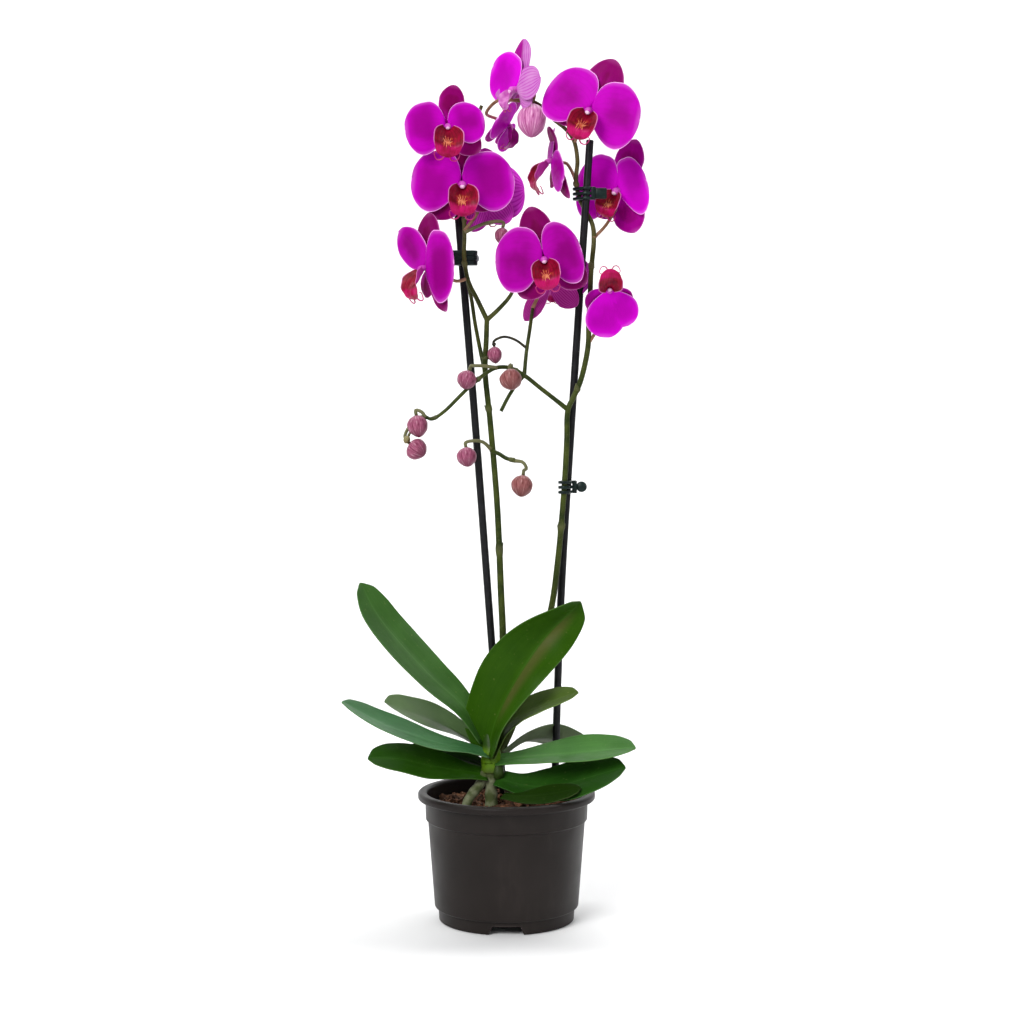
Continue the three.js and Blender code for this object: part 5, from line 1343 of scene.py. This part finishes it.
def build_clips():
    """Three fingers round stick and stem, and the lever beside them."""
    body = plastic_paint("clip_plastic", (0.003, 0.008, 0.007), (0.008, 0.019, 0.017), 0.34)
    clear = plastic_paint("clip_clear", (0.16, 0.22, 0.21), (0.34, 0.42, 0.41), 0.2, 0.45)
    for clip in CLIPS:
        on_stake = point_at_height(STAKES[clip["stake"]], clip["height"])
        on_spike = point_at_height(SPIKES[clip["spike"]]["stems"][clip["stem"]], clip["height"])
        middle, apart = (on_stake + on_spike) / 2, on_spike - on_stake
        reach, lean = math.hypot(apart[0], apart[1]) / 2, math.atan2(apart[1], apart[0])
        lean = 0.0 if clip["shift"] else lean
        piece = Piece()
        turn = round_angles(CLIP_SIDES)
        c, s = math.cos(lean), math.sin(lean)
        for k in (-1, 0, 1):
            rings = []
            for grow, z in FINGER_RIM:
                radius = STAKE_RADIUS + FINGER_WALL + grow
                x = radius * np.cos(turn) + np.sign(np.cos(turn)) * reach
                x = x + np.where(np.cos(turn) < 0, clip["shift"], 0)
                y = radius * np.sin(turn)
                level = np.full(CLIP_SIDES, z * clip.get("tall", 1.0) + FINGER_STEP * k)
                ring = np.stack([x * c - y * s, x * s + y * c, level], 1)
                rings.append(ring + [middle[0], middle[1], clip["height"]])
            faces = ring_faces(len(rings), CLIP_SIDES) + flat_ends(len(rings), CLIP_SIDES)
            piece.add(np.concatenate(rings), faces, np.zeros((len(rings) * CLIP_SIDES, 2)))
        side = on_stake[0] + STAKE_RADIUS + 0.3
        add_box(piece, np.array([side + 1.8, on_stake[1], clip["height"]]), (3.2, 5.4, 8.8), 0.7)
        lever = clip["lever"] - 2
        at = np.array([side + 3 + lever / 2, on_stake[1], clip["height"]])
        if clip["name"] == "clip_right_top":
            add_box(piece, at, (lever, 4, 7.4), 0.9)
            for z in (-2.4, 0, 2.4):
                add_box(piece, at + [lever / 2 - 1.6, -1.9, z], (2.6, 0.5, 0.8), 0.2)
        else:
            mat = 1 if clip["name"] == "clip_left" else 0
            disc = np.array([[at[0] + 0.1, at[1] - 1.6, at[2]], [at[0] + 0.1, at[1] + 1.6, at[2]]])
            line = np.linspace(disc[0], disc[1], 7)
            widths = np.array([0.86, 0.97, 1.0, 1.0, 1.0, 0.97, 0.86]) * min(3.7, lever / 2 + 0.9)
            piece.tube(line, widths, 32, mat=mat, start_side=(0, 0, 1))
        piece.finish(clip["name"] + "_claw", clip["name"], [body, clear])


# Make everything

build_pot()
build_medium(np.random.default_rng(5))
build_stakes()
build_crown()
build_roots(np.random.default_rng(7))
for k, leaf in enumerate(LEAVES):
    build_leaf(leaf, np.random.default_rng(100 + k))
for k, spike in enumerate(SPIKES):
    build_spike(spike, k, np.random.default_rng(200 + k))
build_clips()
for k, bloom in enumerate(BLOOMS):
    build_bloom(bloom, np.random.default_rng(300 + k))
    build_lip(bloom, np.random.default_rng(400 + k))
for bud in BUDS:
    build_bud(bud, BUD_LOOKS.get(bud["name"], ROSE))


# Stage, light and camera

FLOOR_FRONT = -3.0
FLOOR_LEVEL = -0.0004
FLOOR_HALF_WIDTH = 4.0
SWEEP = 1.1
WALL_TOP = 3.4


def sweep_profile():
    """The floor runs back, curves up and ends as a wall."""
    points = [(FLOOR_FRONT, FLOOR_LEVEL), (SWEEP, FLOOR_LEVEL)]
    for angle in np.linspace(0, math.pi / 2, 24)[1:]:
        points.append((SWEEP + SWEEP * math.sin(angle), SWEEP - SWEEP * math.cos(angle) + FLOOR_LEVEL))
    return points + [(2 * SWEEP, WALL_TOP)]


profile = sweep_profile()
floor_mesh = bpy.data.meshes.new("floor")
floor_mesh.from_pydata([(x, y, z) for y, z in profile for x in (-FLOOR_HALF_WIDTH, FLOOR_HALF_WIDTH)], [],
                       [[2 * k, 2 * k + 1, 2 * k + 3, 2 * k + 2] for k in range(len(profile) - 1)])
floor_mesh.polygons.foreach_set("use_smooth", [True] * len(floor_mesh.polygons))
floor = new_object("floor", floor_mesh)
pale = Paint("floor_pale")
tone = pale.mix(pale.noise(3, 2.0), (0.84, 0.84, 0.84), (0.88, 0.88, 0.88))
floor_mesh.materials.append(pale.set(color=tone, roughness=0.8, specular=0.1))

world = bpy.data.worlds.new("studio")
world.use_nodes = True
background = world.node_tree.nodes["Background"]
background.inputs["Color"].default_value = (0.96, 0.98, 1.0, 1)
background.inputs["Strength"].default_value = 0.30
bpy.context.scene.world = world


def lamp(name, at, target, size, power):
    data = bpy.data.lights.new(name, "AREA")
    data.shape, data.size, data.energy = "DISK", size, power
    made = new_object(name, data)
    made.location = at
    made.rotation_euler = (Vector(target) - Vector(at)).to_track_quat("-Z", "Y").to_euler()


lamp("key", (-0.8, -1.4, 1.3), (0, 0, 0.35), 1.1, 31)
lamp("fill", (1.2, -1.3, 0.7), (0, 0, 0.3), 1.2, 4)
lamp("top", (0.2, 0.6, 1.6), (0, 0, 0.4), 1.0, 9)
lamp("wall_left", (-1.1, 0.7, 1.9), (-0.5, 2.2, 0.5), 1.4, 26)
lamp("wall_right", (1.1, 0.7, 1.9), (0.5, 2.2, 0.5), 1.4, 26)

# The camera looks level, as the photo does: sizes in pixels of the picture, and its place in metres
PICTURE_SIDE = 1024
FOCAL_LENGTH = 1975
HORIZON_ROW = 403
SENSOR = 36
CAMERA_AT = (0.0094, -1.339, 0.3486)

camera_data = bpy.data.cameras.new("camera")
camera_data.sensor_width = SENSOR
camera_data.lens = SENSOR * FOCAL_LENGTH / PICTURE_SIDE
camera_data.shift_y = (HORIZON_ROW - PICTURE_SIDE / 2) / PICTURE_SIDE
camera_data.clip_end = 50
camera = new_object("camera", camera_data)
camera.location = CAMERA_AT
camera.rotation_euler = (math.radians(90), 0, 0)
bpy.context.scene.camera = camera
bpy.context.scene.view_settings.view_transform = "Standard"
